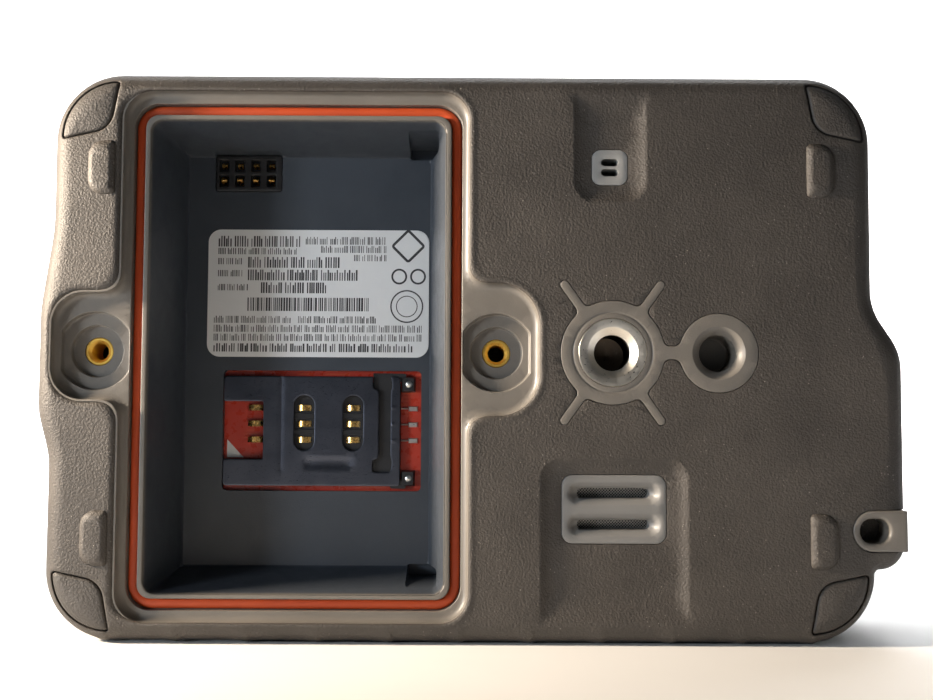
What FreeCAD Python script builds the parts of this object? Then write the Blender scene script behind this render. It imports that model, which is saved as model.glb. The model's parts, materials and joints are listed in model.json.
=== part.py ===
"""Rugged pocket satellite phone (hotspot type), back up, battery and battery cover off.

The device stands on its long ridged edge.  X runs along its length, Y through its
thickness with the back at -Y and the display at +Y, and Z is up.  The origin is the
centre of the whole envelope on the surface that the device stands on.
"""
import FreeCAD, Part
import os
from math import cos, hypot, pi, radians, sin, tan

import Sketcher

doc = FreeCAD.newDocument("satellite_phone")
sheet = doc.addObject("Spreadsheet::Sheet", "Sheet")
V = FreeCAD.Vector


# ---------------------------------------------------------------- sizes
class Size:
    """A length that keeps the spreadsheet expression it was worked out from."""

    def __init__(self, text, value):
        self.text = text
        self.value = value

    def __add__(self, other):
        other = size(other)
        return Size(f"({self.text} + {other.text})", self.value + other.value)

    def __sub__(self, other):
        other = size(other)
        return Size(f"({self.text} - {other.text})", self.value - other.value)

    def __mul__(self, other):
        other = size(other)
        return Size(f"({self.text} * {other.text})", self.value * other.value)

    def __truediv__(self, other):
        other = size(other)
        return Size(f"({self.text} / {other.text})", self.value / other.value)

    def __neg__(self):
        return Size(f"(0 - {self.text})", -self.value)

    def __radd__(self, other):
        return size(other) + self

    def __rsub__(self, other):
        return size(other) - self

    def __rmul__(self, other):
        return size(other) * self


def size(number):
    """Turn a plain number into a Size; leave a Size as it is."""
    return number if isinstance(number, Size) else Size(f"({number})", float(number))


def cosine(angle):
    return Size(f"cos({angle.text} * 1 deg)", cos(radians(angle.value)))


def sine(angle):
    return Size(f"sin({angle.text} * 1 deg)", sin(radians(angle.value)))


DIMENSIONS = {
    # envelope
    "body_x": (-1.25, "middle of the main body, from the origin"),
    "half_length": (60.0, "main body, half its length"),
    "under": (0.3, "underside of the body, above the ridge tips"),
    "top": (82.8, "top edge of the body"),
    "back": (-15.1, "back rubber surface"),
    "front": (15.9, "front rubber rim"),
    "split": (3.4, "parting plane of the two halves"),
    "corner": (10.0, "corner radius of the outline"),
    "edge_round": (3.2, "rounding of the back and front edges"),
    "skin": (1.2, "rubber thickness"),
    "core_round": (1.8, "rounding of the plastic under the rubber"),
    "grip_swell": (1.8, "how far the left side swells"),
    "hinge_swell": (4.4, "how far the antenna hinge housing stands out"),
    "hinge_low": (11.6, "foot of the hinge housing"),
    "hinge_high": (48.7, "head of the hinge housing"),
    # battery bay
    "bay_x": (-24.1, "middle of the bay"),
    "bay_z": (41.5, "middle of the bay"),
    "rim_length": (50.4, "opening in the rubber, along X"),
    "rim_height": (77.2, "opening in the rubber, along Z"),
    "rim_round": (4.2, "corner radius of that opening"),
    "ledge": (-13.1, "plastic ledge inside the opening"),
    "seal_length": (46.6, "seal centre line, along X"),
    "seal_height": (72.2, "seal centre line, along Z"),
    "seal_width": (1.5, "width of the seal"),
    "seal_depth": (1.0, "depth of its groove"),
    "seal_proud": (0.5, "height of the seal above the ledge"),
    "mouth_length": (43.4, "cavity mouth, along X"),
    "mouth_height": (69.6, "cavity mouth, along Z"),
    "mouth_round": (1.6, "corner radius of the cavity"),
    "floor": (0.9, "cavity floor"),
    "floor_back": (2.2, "inner face of the floor"),
    "bay_draft": (10.0, "draft of the cavity walls, degrees"),
    # cover-screw ears
    "ear_reach": (29.2, "screw centres, from the bay's middle"),
    "ear_z": (41.9, "height of the screw centres"),
    "ear_dish": (5.7, "radius of the dish round a screw"),
    "insert_r": (2.1, "brass insert, outer radius"),
    "insert_bore": (1.27, "brass insert, M3 thread core radius"),
    "insert_length": (6.0, "brass insert, length"),
    # tripod and pin lands
    "tripod_x": (21.8, "tripod insert, from the body's middle"),
    "land_z": (41.9, "height of both holes"),
    "pin_step": (15.3, "distance between tripod and pin holes"),
    "tripod_land": (7.5, "radius of the tripod land"),
    "pin_land": (5.7, "radius of the pin land"),
    "steel_r": (5.0, "tripod insert, outer radius"),
    "steel_bore": (2.56, "tripod insert, 1/4-20 thread core radius"),
    "steel_length": (9.6, "tripod insert, length"),
    "steel_deep": (8.0, "depth of the thread"),
    "steel_mouth": (3.9, "radius of the thread's countersink"),
    "pin_bore": (2.65, "radius of the pin hole"),
    "pin_mouth": (3.85, "radius of the cone at its mouth"),
    "pin_deep": (7.0, "depth of the pin hole"),
    "arm_angle": (54.7, "lean of the four arms, degrees"),
    "arm_reach": (12.6, "how far the arms reach"),
    "arm_width": (1.25, "width of an arm"),
    "neck_width": (1.9, "width of the neck between the lands"),
    # channels in the rubber
    "channel_deep": (0.9, "depth of both channels"),
    "vent_x": (21.5, "vent plate, middle"),
    "vent_z": (69.0, "vent plate, middle"),
    "vent_size": (5.2, "vent plate, side"),
    "speaker_x": (22.0, "speaker plate, middle"),
    "speaker_z": (19.4, "speaker plate, middle"),
    "speaker_length": (15.0, "speaker plate, along X"),
    "speaker_height": (9.8, "speaker plate, along Z"),
    # raised pads and strap eye
    "pad_proud": (0.8, "height of the raised pads"),
    "pad_height": (7.5, "raised pads, along Z"),
    "pad_width": (3.6, "raised pads, along X"),
    "pad_low": (15.0, "middle of the lower pads"),
    "pad_high": (68.5, "middle of the upper pads"),
    "eye_x": (60.3, "strap eye, middle"),
    "eye_z": (16.5, "strap eye, middle"),
    "eye_in": (5.0, "strap eye tab, from the middle to its round inner end"),
    "eye_half": (2.95, "strap eye tab, half its height"),
    "eye_fit": (0.1, "clearance of the rubber round the tab"),
    "eye_thick": (2.4, "thickness of the tab"),
    "eye_hole_in": (3.3, "cord hole, from the middle inward"),
    "eye_hole_out": (0.9, "cord hole, from the middle outward"),
    "eye_hole_half": (1.65, "cord hole, half its height"),
    "eye_room_in": (3.9, "space behind the tab, from the middle inward"),
    "eye_room_out": (6.0, "space behind the tab, from the middle outward"),
    "eye_room_half": (2.3, "space behind the tab, half its height"),
    "eye_room_deep": (7.4, "depth of the space behind the tab"),
    # ridges under the long edge
    "ridge_pitch": (10.15, "spacing of the grip ridges"),
    "ridge_width": (2.0, "width of a ridge"),
    "ridge_count": (11, "how many ridges"),
    # SIM reader
    "sim_x": (-21.8, "SIM window, middle"),
    "sim_z": (30.4, "SIM window, middle"),
    "sim_length": (31.0, "SIM window, along X"),
    "sim_height": (18.8, "SIM window, along Z"),
    # front
    "axle_y": (10.2, "antenna hinge line"),
    "axle_z": (29.0, "antenna hinge line"),
    "antenna_r": (5.3, "antenna knuckle radius"),
    "antenna_left": (48.4, "inner side of the antenna"),
    "antenna_right": (59.9, "outer side of the antenna"),
    "antenna_end": (69.0, "tip of the stowed antenna"),
    "axle_r": (1.5, "antenna hinge pin radius"),
    "running": (0.05, "running clearance on a radius"),
    "gap": (0.3, "gap round moving parts"),
    "panel": (14.7, "front face of the front housing"),
    "panel_back": (12.7, "its inner face"),
    "board_back": (9.6, "main board, rear face"),
    "board_front": (10.8, "main board, front face"),
    "key_z": (21.0, "row of keys"),
    "key_pitch": (14.0, "spacing of the keys"),
}
for row, (alias, (value, note)) in enumerate(DIMENSIONS.items(), start=1):
    sheet.set(f"A{row}", str(value))
    sheet.set(f"B{row}", note)
    sheet.setAlias(f"A{row}", alias)
doc.recompute()


def dim(alias):
    return Size(f"Sheet.{alias}", float(DIMENSIONS[alias][0]))


# ---------------------------------------------------------------- outlines
def bind(sketch, constraint, length):
    """Add a dimension to a sketch and tie it to the sheet."""
    index = sketch.addConstraint(constraint)
    sketch.setExpression(f"Constraints[{index}]", length.text)


def place_point(sketch, geometry, end, u, v):
    bind(sketch, Sketcher.Constraint("DistanceX", geometry, end, u.value), u)
    bind(sketch, Sketcher.Constraint("DistanceY", geometry, end, v.value), v)


def corners(points):
    """A closed outline through (u, v, radius) corners, listed anticlockwise."""
    points = [(size(u), size(v), size(r)) for u, v, r in points]

    def draw(sketch):
        count = len(points)
        spots = [V(u.value, v.value, 0) for u, v, _ in points]
        arrive, leave, arcs = [], [], []
        for i, (_, _, r) in enumerate(points):
            before = (spots[i - 1] - spots[i]).normalize()
            after = (spots[(i + 1) % count] - spots[i]).normalize()
            half = before.getAngle(after) / 2
            reach = r.value / tan(half)
            arrive.append(spots[i] + before * reach)
            leave.append(spots[i] + after * reach)
            if r.value:
                middle = (before + after).normalize() * (r.value / sin(half))
                left_turn = before.cross(after).z < 0
                arcs.append((spots[i] + middle, left_turn))
            else:
                arcs.append(None)
        lines = []
        for i in range(count):
            segment = Part.LineSegment(leave[i], arrive[(i + 1) % count])
            lines.append(sketch.addGeometry(segment, False))
        for i, (u, v, r) in enumerate(points):
            incoming, outgoing = lines[i - 1], lines[i]
            if arcs[i] is None:
                sketch.addConstraint(Sketcher.Constraint("Coincident", incoming, 2, outgoing, 1))
                place_point(sketch, outgoing, 1, u, v)
                continue
            centre, left_turn = arcs[i]
            first, last = (arrive[i], leave[i]) if left_turn else (leave[i], arrive[i])
            begin = (first - centre).getAngle(V(1, 0, 0)) * (1 if first.y >= centre.y else -1)
            finish = (last - centre).getAngle(V(1, 0, 0)) * (1 if last.y >= centre.y else -1)
            if finish < begin:
                finish += 2 * pi
            circle = Part.Circle(centre, V(0, 0, 1), r.value)
            arc = sketch.addGeometry(Part.ArcOfCircle(circle, begin, finish), False)
            enter, depart = (1, 2) if left_turn else (2, 1)
            sketch.addConstraint(Sketcher.Constraint("Tangent", incoming, 2, arc, enter))
            sketch.addConstraint(Sketcher.Constraint("Tangent", arc, depart, outgoing, 1))
            bind(sketch, Sketcher.Constraint("Radius", arc, r.value), r)
            corner = sketch.addGeometry(Part.Point(spots[i]), True)
            place_point(sketch, corner, 1, u, v)
            sketch.addConstraint(Sketcher.Constraint("PointOnObject", corner, 1, incoming))
            sketch.addConstraint(Sketcher.Constraint("PointOnObject", corner, 1, outgoing))

    return draw


def rect(u0, u1, v0, v1, r=0):
    return corners([(u0, v0, r), (u1, v0, r), (u1, v1, r), (u0, v1, r)])


def centred(u, v, width, height, r=0):
    u, v, width, height = size(u), size(v), size(width), size(height)
    return rect(u - width / 2, u + width / 2, v - height / 2, v + height / 2, r)


def disc(u, v, r):
    u, v, r = size(u), size(v), size(r)

    def draw(sketch):
        ring = sketch.addGeometry(Part.Circle(V(u.value, v.value, 0), V(0, 0, 1), r.value), False)
        place_point(sketch, ring, 3, u, v)
        bind(sketch, Sketcher.Constraint("Radius", ring, r.value), r)

    return draw


def obround(u0, u1, v0, v1):
    """A slot with round ends, lying along its longer side, u."""
    u0, u1, v0, v1 = size(u0), size(u1), size(v0), size(v1)
    r = (v1 - v0) / 2
    middle = (v0 + v1) / 2

    def draw(sketch):
        ends = []
        for u, begin in ((u1 - r, -pi / 2), (u0 + r, pi / 2)):
            circle = Part.Circle(V(u.value, middle.value, 0), V(0, 0, 1), r.value)
            arc = sketch.addGeometry(Part.ArcOfCircle(circle, begin, begin + pi), False)
            place_point(sketch, arc, 3, u, middle)
            bind(sketch, Sketcher.Constraint("Radius", arc, r.value), r)
            ends.append(arc)
        for a, b, v in ((0, 1, v1), (1, 0, v0)):
            x_a, x_b = ((u1 - r), (u0 + r)) if a == 0 else ((u0 + r), (u1 - r))
            side = Part.LineSegment(V(x_a.value, v.value, 0), V(x_b.value, v.value, 0))
            line = sketch.addGeometry(side, False)
            sketch.addConstraint(Sketcher.Constraint("Tangent", ends[a], 2, line, 1))
            sketch.addConstraint(Sketcher.Constraint("Tangent", line, 2, ends[b], 1))

    return draw


def device_outline(inset):
    """Outline of the whole device seen from its back, moved inwards by inset."""
    inset = size(inset)
    left, right = -dim("half_length") + inset, dim("half_length") - inset
    low, high = dim("under") + inset, dim("top") - inset
    round_corner = dim("corner") - inset
    hinge = right + dim("hinge_swell")
    grip = left - dim("grip_swell")
    foot, head = dim("hinge_low"), dim("hinge_high")
    return corners([
        (left, low, round_corner),
        (right, low, round_corner),
        (right, foot, 0.5 + inset),
        (hinge, foot + 1.4, 3.2 - inset),
        (hinge, head - 6.4, 8.0 - inset),
        (right, head, 8.0 + inset),
        (right, high, round_corner),
        (left, high, round_corner),
        (left, 60.0, 25.0 + inset),
        (grip, 48.0, 25.0 - inset),
        (grip, 33.0, 12.0 - inset),
        (left, 26.5, 12.0 + inset),
    ])


# ---------------------------------------------------------------- bodies
PLANES = {"XZ": ("XZ_Plane", -1), "YZ": ("YZ_Plane", 1), "XY": ("XY_Plane", 1)}


class Piece:
    """One PartDesign body.  Each feature fills or clears the span between two levels.

    The levels run along Y for the XZ plane, along X for YZ and along Z for XY.
    """

    def __init__(self, name, placed=True):
        self.name = name
        self.body = doc.addObject("PartDesign::Body", name)
        self.body.Label = name
        self.body.AllowCompound = True
        if placed:
            self.body.setExpression("Placement.Base.x", dim("body_x").text)

    def sketch(self, plane, level, outlines):
        role, _ = PLANES[plane]
        made = self.body.newObject("Sketcher::SketchObject", f"{self.name}_sketch")
        origin_plane = next(f for f in self.body.Origin.OriginFeatures if f.Role == role)
        made.AttachmentSupport = [(origin_plane, "")]
        made.MapMode = "FlatFace"
        made.setExpression("AttachmentOffset.Base.z", level.text)
        for outline in outlines:
            outline(made)
        return made

    def pad(self, start, end, *outlines, plane="XZ"):
        start, end = size(start), size(end)
        sign = PLANES[plane][1]
        level = start if sign > 0 else -end
        base = self.sketch(plane, level, outlines)
        feature = self.body.newObject("PartDesign::Pad", f"{self.name}_pad")
        feature.Profile = base
        feature.Refine = False
        feature.setExpression("Length", (end - start).text)
        return self

    def cut(self, start, end, *outlines, plane="XZ", draft=None):
        start, end = size(start), size(end)
        sign = PLANES[plane][1]
        level = end if sign > 0 else -start
        base = self.sketch(plane, level, outlines)
        feature = self.body.newObject("PartDesign::Pocket", f"{self.name}_pocket")
        feature.Profile = base
        feature.Refine = False
        feature.setExpression("Length", (end - start).text)
        if draft is not None:
            feature.setExpression("TaperAngle", f"-1 deg * {draft.text}")
        return self

    def cone(self, level, outline, deep, lean, plane="XZ"):
        """A pocket whose sides lean inwards, as for a countersink."""
        return self.cut(level, size(level) + deep, outline, plane=plane, draft=size(lean))

    def soften(self, choose, radius, kind="Fillet"):
        """Round or bevel the edges of the last feature that choose() picks."""
        doc.recompute()
        base = self.body.Tip
        names = [f"Edge{i}" for i, e in enumerate(base.Shape.Edges, start=1) if choose(e)]
        if not names:
            raise ValueError(f"{self.name}: no edge to soften")
        feature = self.body.newObject(f"PartDesign::{kind}", f"{self.name}_{kind}")
        feature.Base = (base, names)
        prop = "Radius" if kind == "Fillet" else "Size"
        feature.setExpression(prop, size(radius).text)
        return self

    def remove(self, other):
        """Cut another body out of this one."""
        feature = self.body.newObject("PartDesign::Boolean", f"{self.name}_boolean")
        feature.Type = "Cut"
        feature.addObjects([other.body])
        return self

    def repeat(self, count, pitch, axis="X_Axis"):
        """Repeat the last feature along an axis."""
        last = self.body.Tip
        line = next(f for f in self.body.Origin.OriginFeatures if f.Role == axis)
        feature = self.body.newObject("PartDesign::LinearPattern", f"{self.name}_row")
        feature.Originals = [last]
        feature.Direction = (line, [""])
        feature.setExpression("Length", (pitch * (count - 1)).text)
        feature.setExpression("Occurrences", count.text)
        self.body.Tip = feature
        return self


def lies_at(axis, level):
    """Pick edges that lie wholly at one level along an axis."""
    level = size(level).value

    def choose(edge):
        box = edge.BoundBox
        low, high = (box.YMin, box.YMax) if axis == "Y" else (
            (box.XMin, box.XMax) if axis == "X" else (box.ZMin, box.ZMax))
        return abs(low - level) < 1e-4 and abs(high - level) < 1e-4

    return choose


def both(*tests):
    return lambda edge: all(test(edge) for test in tests)


def within(u0, u1, v0, v1):
    """Pick edges whose middle is inside a box in X and Z."""
    def choose(edge):
        spot = edge.BoundBox.Center
        return u0 <= spot.x <= u1 and v0 <= spot.z <= v1

    return choose


# ---------------------------------------------------------------- shared outlines
# the four case screws, under the corner bumpers
SCREWS = [(x, z) for x in (-53.4, 53.4) for z in (6.9, 75.9)]
# clearance between the raised lands and the rubber round them
LAND_GAP = 0.08


def land_discs(grow=0.0):
    return (disc(dim("tripod_x"), dim("land_z"), dim("tripod_land") + grow),
            disc(dim("tripod_x") + dim("pin_step"), dim("land_z"), dim("pin_land") + grow))


def land_arms(grow=0.0):
    """Four leaning arms round the tripod land, and the neck to the pin land."""
    shapes = []
    x, z = dim("tripod_x"), dim("land_z")
    half = dim("arm_width") / 2 + grow
    along, across = cosine(dim("arm_angle")), sine(dim("arm_angle"))
    inner, outer = dim("tripod_land") - 0.6, dim("arm_reach") + grow
    for sx in (-1, 1):
        for sz in (-1, 1):
            spots = []
            for reach, side in ((inner, -half), (outer, -half), (outer, half), (inner, half)):
                u = x + sx * (reach * along - side * across)
                v = z + sz * (reach * across + side * along)
                spots.append((u, v, 0))
            if sx * sz < 0:
                spots.reverse()
            shapes.append(corners(spots))
    half_neck = dim("neck_width") / 2 + grow
    shapes.append(rect(x + dim("tripod_land") - 0.4, x + dim("pin_step") - dim("pin_land") + 0.4,
                       z - half_neck, z + half_neck))
    return shapes


def bay_rim(grow=0.0):
    return centred(dim("bay_x"), dim("bay_z"), dim("rim_length") + 2 * grow,
                   dim("rim_height") + 2 * grow, dim("rim_round") + grow)


def left_ear(grow=0.0):
    edge = dim("bay_x") - dim("rim_length") / 2
    return corners([(edge - 9.9 - grow, 34.8 - grow, 3.6), (edge + 1.0, 34.8 - grow, 0),
                    (edge + 1.0, 50.3 + grow, 0), (edge - 9.9 - grow, 50.3 + grow, 3.6)])


def right_ear(grow=0.0):
    edge = dim("bay_x") + dim("rim_length") / 2
    return corners([(edge - 1.0, 32.7 - grow, 0), (edge + 10.2 + grow, 32.7 - grow, 6.0),
                    (edge + 10.2 + grow, 51.9 + grow, 6.0), (edge - 1.0, 51.9 + grow, 0)])


def upper_channel(grow=0.0):
    return rect(16.3 - grow, 27.7 + grow, 64.3 - grow, 79.0 + grow, 2.4 + grow)


def lower_channel(grow=0.0):
    return rect(11.4 - grow, 33.4 + grow, 5.0 - grow, 27.2 + grow, 2.6 + grow)


def vent_land(grow=0.0):
    side = dim("vent_size") + 2 * grow
    return centred(dim("vent_x"), dim("vent_z"), side, side, 1.3)


def speaker_land(grow=0.0):
    return centred(dim("speaker_x"), dim("speaker_z"), dim("speaker_length") + 2 * grow,
                   dim("speaker_height") + 2 * grow, 1.3)


def vent_slots():
    x, z = dim("vent_x"), dim("vent_z")
    return [obround(x - 1.4, x + 1.4, z + lift - 0.52, z + lift + 0.52) for lift in (-0.75, 0.75)]


def speaker_slots(half, tall):
    x, z = dim("speaker_x"), dim("speaker_z")
    return [obround(x - half, x + half, z + lift - tall / 2, z + lift + tall / 2)
            for lift in (-2.25, 2.25)]


def bumper_leaf(sx, sz, grow=0.0):
    """Leaf-shaped outline of one corner bumper."""
    mid_z = (dim("under") + dim("top")) / 2
    half = dim("half_length")
    tall = (dim("top") - dim("under")) / 2
    spots = [(half - 0.9 + grow, tall - 9.9 - grow, 0.25), (half - 0.9 + grow, tall - 0.9 + grow, 8.6),
             (half - 9.9 - grow, tall - 0.9 + grow, 0.25), (half - 8.6 - grow, tall - 8.5 - grow, 3.2)]
    spots = [(sx * u, mid_z + sz * v, r) for u, v, r in spots]
    if sx * sz < 0:
        spots.reverse()
    return corners(spots)


BUMPERS = {"top_left": (-1, 1), "top_right": (1, 1), "bottom_left": (-1, -1),
           "bottom_right": (1, -1)}
BUMPER_FLOOR = -12.7


# ---------------------------------------------------------------- rear half
def rubber_form(piece, start, end, rounded):
    """Outer form of one rubber half, with its outer edge rounded."""
    piece.pad(start, end, device_outline(0.0))
    return piece.soften(lies_at("Y", rounded), dim("edge_round"))


def core_form(name, start, end, rounded, placed=True):
    """Outer form of the plastic core that one rubber half is moulded over."""
    core = Piece(name, placed).pad(start, end, device_outline(dim("skin")))
    return core.soften(lies_at("Y", rounded), dim("core_round"))


def make_rear_overmould():
    back, skin, split = dim("back"), dim("skin"), dim("split")
    p = Piece("rear_overmould")
    rubber_form(p, back, split, back)
    p.remove(core_form("rear_core", back + skin, split, back + skin, placed=False))
    p.pad(back + skin - 0.2, back + skin + dim("channel_deep"),
          upper_channel(dim("skin")), lower_channel(dim("skin")))
    p.cut(back, back + dim("channel_deep"), upper_channel(), lower_channel())
    p.cut(back, dim("floor"), bay_rim())
    p.cut(back, back + skin + 0.1, left_ear())
    p.cut(back, back + skin + 0.1, right_ear())
    p.cut(back, back + skin + 0.1, *land_discs(LAND_GAP))
    p.cut(back, back + skin + 0.1, *land_arms(LAND_GAP))
    p.cut(back, back + 4.0, vent_land(LAND_GAP), speaker_land(LAND_GAP))
    for sx, sz in BUMPERS.values():
        p.cut(back, BUMPER_FLOOR, bumper_leaf(sx, sz, 0.12))
    eye_x, eye_z = dim("eye_x"), dim("eye_z")
    mouth = dim("eye_half") + dim("eye_fit")
    room = dim("eye_room_half")
    p.cut(back, back + 4.6, obround(eye_x - dim("eye_in") - dim("eye_fit"), eye_x + 12.0,
                                    eye_z - mouth, eye_z + mouth))
    p.cut(dim("half_length") - 3.0, dim("half_length") + 8.0,
          rect(back + 2.2, back + dim("eye_room_deep"), eye_z - room, eye_z + room), plane="YZ")
    half_pad = dim("pad_width") / 2
    pads = [centred(x, z, 2 * half_pad, dim("pad_height"), 1.5)
            for x in (-52.4, 52.0) for z in (dim("pad_low"), dim("pad_high"))]
    p.pad(back - dim("pad_proud"), back + 0.2, *pads)
    first = -(dim("ridge_count") - 1) * dim("ridge_pitch") / 2
    p.pad(back + dim("edge_round") + 0.4, split,
          centred(first, dim("under") / 2 + 0.1, dim("ridge_width"), dim("under") + 0.2))
    return p.repeat(dim("ridge_count"), dim("ridge_pitch"))


def make_rear_housing():
    back, skin, split = dim("back"), dim("skin"), dim("split")
    shell = back + skin
    inner = back + 4.2
    p = core_form("rear_housing", shell, split, shell)
    # right-hand chamber, shallow tray behind the bay, and the slim chambers beside it
    p.cut(inner, split, rect(3.6, 56.4, 4.2, 78.6, 6.0))
    p.cut(dim("floor_back"), split, rect(-56.8, 6.0, 4.2, 78.6, 4.0))
    p.cut(inner, split, rect(-56.8, -51.2, 12.0, 32.0, 1.0), rect(-56.8, -51.2, 53.0, 70.0, 1.0))
    # seats of the four case screws
    p.pad(inner - 0.2, split, *[disc(x, z, 4.0) for x, z in SCREWS])
    # inside bosses behind the lands and the right ear
    p.pad(inner - 0.2, back + 10.4, *land_discs(0.0))
    p.pad(inner - 0.2, back + 10.4, disc(dim("bay_x") + dim("ear_reach"), dim("ear_z"), 4.2))
    # channels and lands
    p.cut(shell, shell + dim("channel_deep"), upper_channel(skin), lower_channel(skin))
    p.pad(back, shell + 0.2, *land_discs())
    p.pad(back, shell + 0.2, *land_arms())
    p.pad(back + dim("channel_deep"), shell + dim("channel_deep") + 0.2, vent_land(), speaker_land())
    # battery bay: ledge, seal groove and drafted cavity
    p.cut(shell - 0.2, dim("ledge"), bay_rim())
    p.cut(shell - 0.2, dim("ledge") + 0.3, left_ear())
    p.cut(shell - 0.2, dim("ledge") + 0.3, right_ear())
    groove = (dim("seal_width") + 0.1)
    p.cut(dim("ledge"), dim("ledge") + dim("seal_depth"),
          centred(dim("bay_x"), dim("bay_z"), dim("seal_length") + groove,
                  dim("seal_height") + groove, 3.6),
          centred(dim("bay_x"), dim("bay_z"), dim("seal_length") - groove,
                  dim("seal_height") - groove, 2.0))
    p.cut(dim("ledge"), dim("floor"),
          centred(dim("bay_x"), dim("bay_z"), dim("mouth_length"), dim("mouth_height"),
                  dim("mouth_round")), draft=dim("bay_draft"))
    # wide finger notches in the top and bottom lips
    p.cut(dim("ledge"), dim("ledge") + 0.7,
          centred(dim("bay_x"), dim("bay_z"), 16.0, dim("mouth_height") + 0.9))
    # openings in the bay floor for the SIM reader and the battery connector
    p.cut(dim("floor"), dim("floor_back"),
          centred(dim("sim_x"), dim("sim_z"), dim("sim_length"), dim("sim_height"), 0.6))
    p.cut(dim("floor"), dim("floor_back"), centred(-33.8, 71.0, 10.6, 6.0, 0.4))
    # stepped dishes and insert bores of the two cover screws
    ears = [dim("bay_x") - dim("ear_reach"), dim("bay_x") + dim("ear_reach")]
    p.cut(dim("ledge"), dim("ledge") + 1.2, *[disc(x, dim("ear_z"), dim("ear_dish")) for x in ears])
    p.cut(dim("ledge") + 1.0, dim("ledge") + 2.2, *[disc(x, dim("ear_z"), 3.8) for x in ears])
    p.cut(dim("ledge") + 2.0, dim("ledge") + 2.2 + dim("insert_length"),
          *[disc(x, dim("ear_z"), dim("insert_r")) for x in ears])
    # tripod insert seat and pin hole
    p.cut(back, back + dim("steel_length"), disc(dim("tripod_x"), dim("land_z"), dim("steel_r")))
    pin_x = dim("tripod_x") + dim("pin_step")
    p.cut(back, back + 0.3, disc(pin_x, dim("land_z"), dim("pin_mouth")))
    p.cone(back + 0.3, disc(pin_x, dim("land_z"), dim("pin_mouth")), 1.0, 45)
    p.cut(back, back + dim("pin_deep"), disc(pin_x, dim("land_z"), dim("pin_bore")))
    # dished slots over the speaker, and the vent slots
    p.cut(back + dim("channel_deep"), back + dim("channel_deep") + 0.7, *speaker_slots(6.75, 3.3))
    p.cut(back + dim("channel_deep"), inner + 0.1, *speaker_slots(5.25, 1.4))
    p.cut(back + dim("channel_deep"), inner + 0.1, *vent_slots())
    # bumper recesses and case-screw seats
    for sx, sz in BUMPERS.values():
        p.cut(shell - 0.2, BUMPER_FLOOR, bumper_leaf(sx, sz, 0.12))
    p.cut(BUMPER_FLOOR, -10.6, *[disc(x, z, 2.5) for x, z in SCREWS])
    p.cut(-11.0, split, *[disc(x, z, 1.4) for x, z in SCREWS])
    # strap eye: a bar across a pocket that opens to the side
    eye_x, eye_z = dim("eye_x"), dim("eye_z")
    side = dim("half_length") + dim("hinge_swell")
    half, room, hole = dim("eye_half"), dim("eye_room_half"), dim("eye_hole_half")
    tab_back = back + dim("eye_thick")
    p.pad(back, tab_back, obround(eye_x - dim("eye_in"), eye_x + 10.0, eye_z - half, eye_z + half))
    p.cut(back, tab_back, rect(side, eye_x + 12.0, eye_z - 4.0, eye_z + 4.0))
    p.cut(back + 2.2, back + dim("eye_room_deep"),
          rect(eye_x - dim("eye_room_in"), eye_x + dim("eye_room_out"), eye_z - room, eye_z + room))
    p.cut(back, back + 3.0, obround(eye_x - dim("eye_hole_in"), eye_x + dim("eye_hole_out"),
                                    eye_z - hole, eye_z + hole))
    return p


def make_bumpers():
    """Corner bumpers: the outer rubber form common with a leaf-shaped prism."""
    made = []
    form = rubber_form(Piece("bumper_form"), dim("back"), dim("split"), dim("back"))
    for name, (sx, sz) in BUMPERS.items():
        leaf = Piece(f"leaf_{name}").pad(dim("back"), BUMPER_FLOOR, bumper_leaf(sx, sz))
        bumper = doc.addObject("Part::Common", f"corner_bumper_{name}")
        bumper.Label = f"corner_bumper_{name}"
        bumper.Base, bumper.Tool = form.body, leaf.body
        made.append(bumper)
    return made


def make_bay_seal():
    level, proud = dim("ledge"), dim("seal_proud")
    width = dim("seal_width")
    p = Piece("bay_seal")
    p.pad(level - proud, level + dim("seal_depth"),
          centred(dim("bay_x"), dim("bay_z"), dim("seal_length") + width,
                  dim("seal_height") + width, 3.5),
          centred(dim("bay_x"), dim("bay_z"), dim("seal_length") - width,
                  dim("seal_height") - width, 2.1))
    return p.soften(lies_at("Y", level - proud), 0.4)


def make_cover_screw_inserts():
    start = dim("ledge") + 2.2
    p = Piece("cover_screw_inserts")
    for side in (-1, 1):
        x = dim("bay_x") + side * dim("ear_reach")
        p.pad(start, start + dim("insert_length"), disc(x, dim("ear_z"), dim("insert_r")),
              disc(x, dim("ear_z"), dim("insert_bore")))
    return p


def make_tripod_insert():
    back, x, z = dim("back"), dim("tripod_x"), dim("land_z")
    p = Piece("tripod_insert")
    p.pad(back, back + dim("steel_length"), disc(x, z, dim("steel_r")))
    p.cone(back, disc(x, z, dim("steel_mouth")), 1.3, 45)
    return p.cut(back, back + dim("steel_deep"), disc(x, z, dim("steel_bore")))


def make_rear_trim():
    x = dim("speaker_x")
    floor = dim("floor")
    inner = dim("back") + 4.2
    label = Piece("rating_label").pad(floor - 0.12, floor, rect(-40.0, -5.2, 41.9, 62.0, 2.2))
    mesh = Piece("speaker_mesh").pad(inner + 0.1, inner + 0.3,
                                     centred(x, dim("speaker_z"), 13.2, 8.0, 1.0))
    vent = Piece("vent_membrane").pad(inner + 0.1, inner + 0.3,
                                      centred(dim("vent_x"), dim("vent_z"), 5.0, 5.0, 1.0))
    driver = Piece("speaker")
    driver.pad(inner + 0.4, inner + 4.4, centred(x, dim("speaker_z"), 16.0, 11.0, 2.0))
    driver.cut(inner + 0.4, inner + 1.0, centred(x, dim("speaker_z"), 13.0, 8.0, 1.5))
    return [label, mesh, vent, driver]


# ---------------------------------------------------------------- battery and SIM contacts
CONTACT_COLUMNS = [-37.8, -35.3, -32.8, -30.3]


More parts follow.
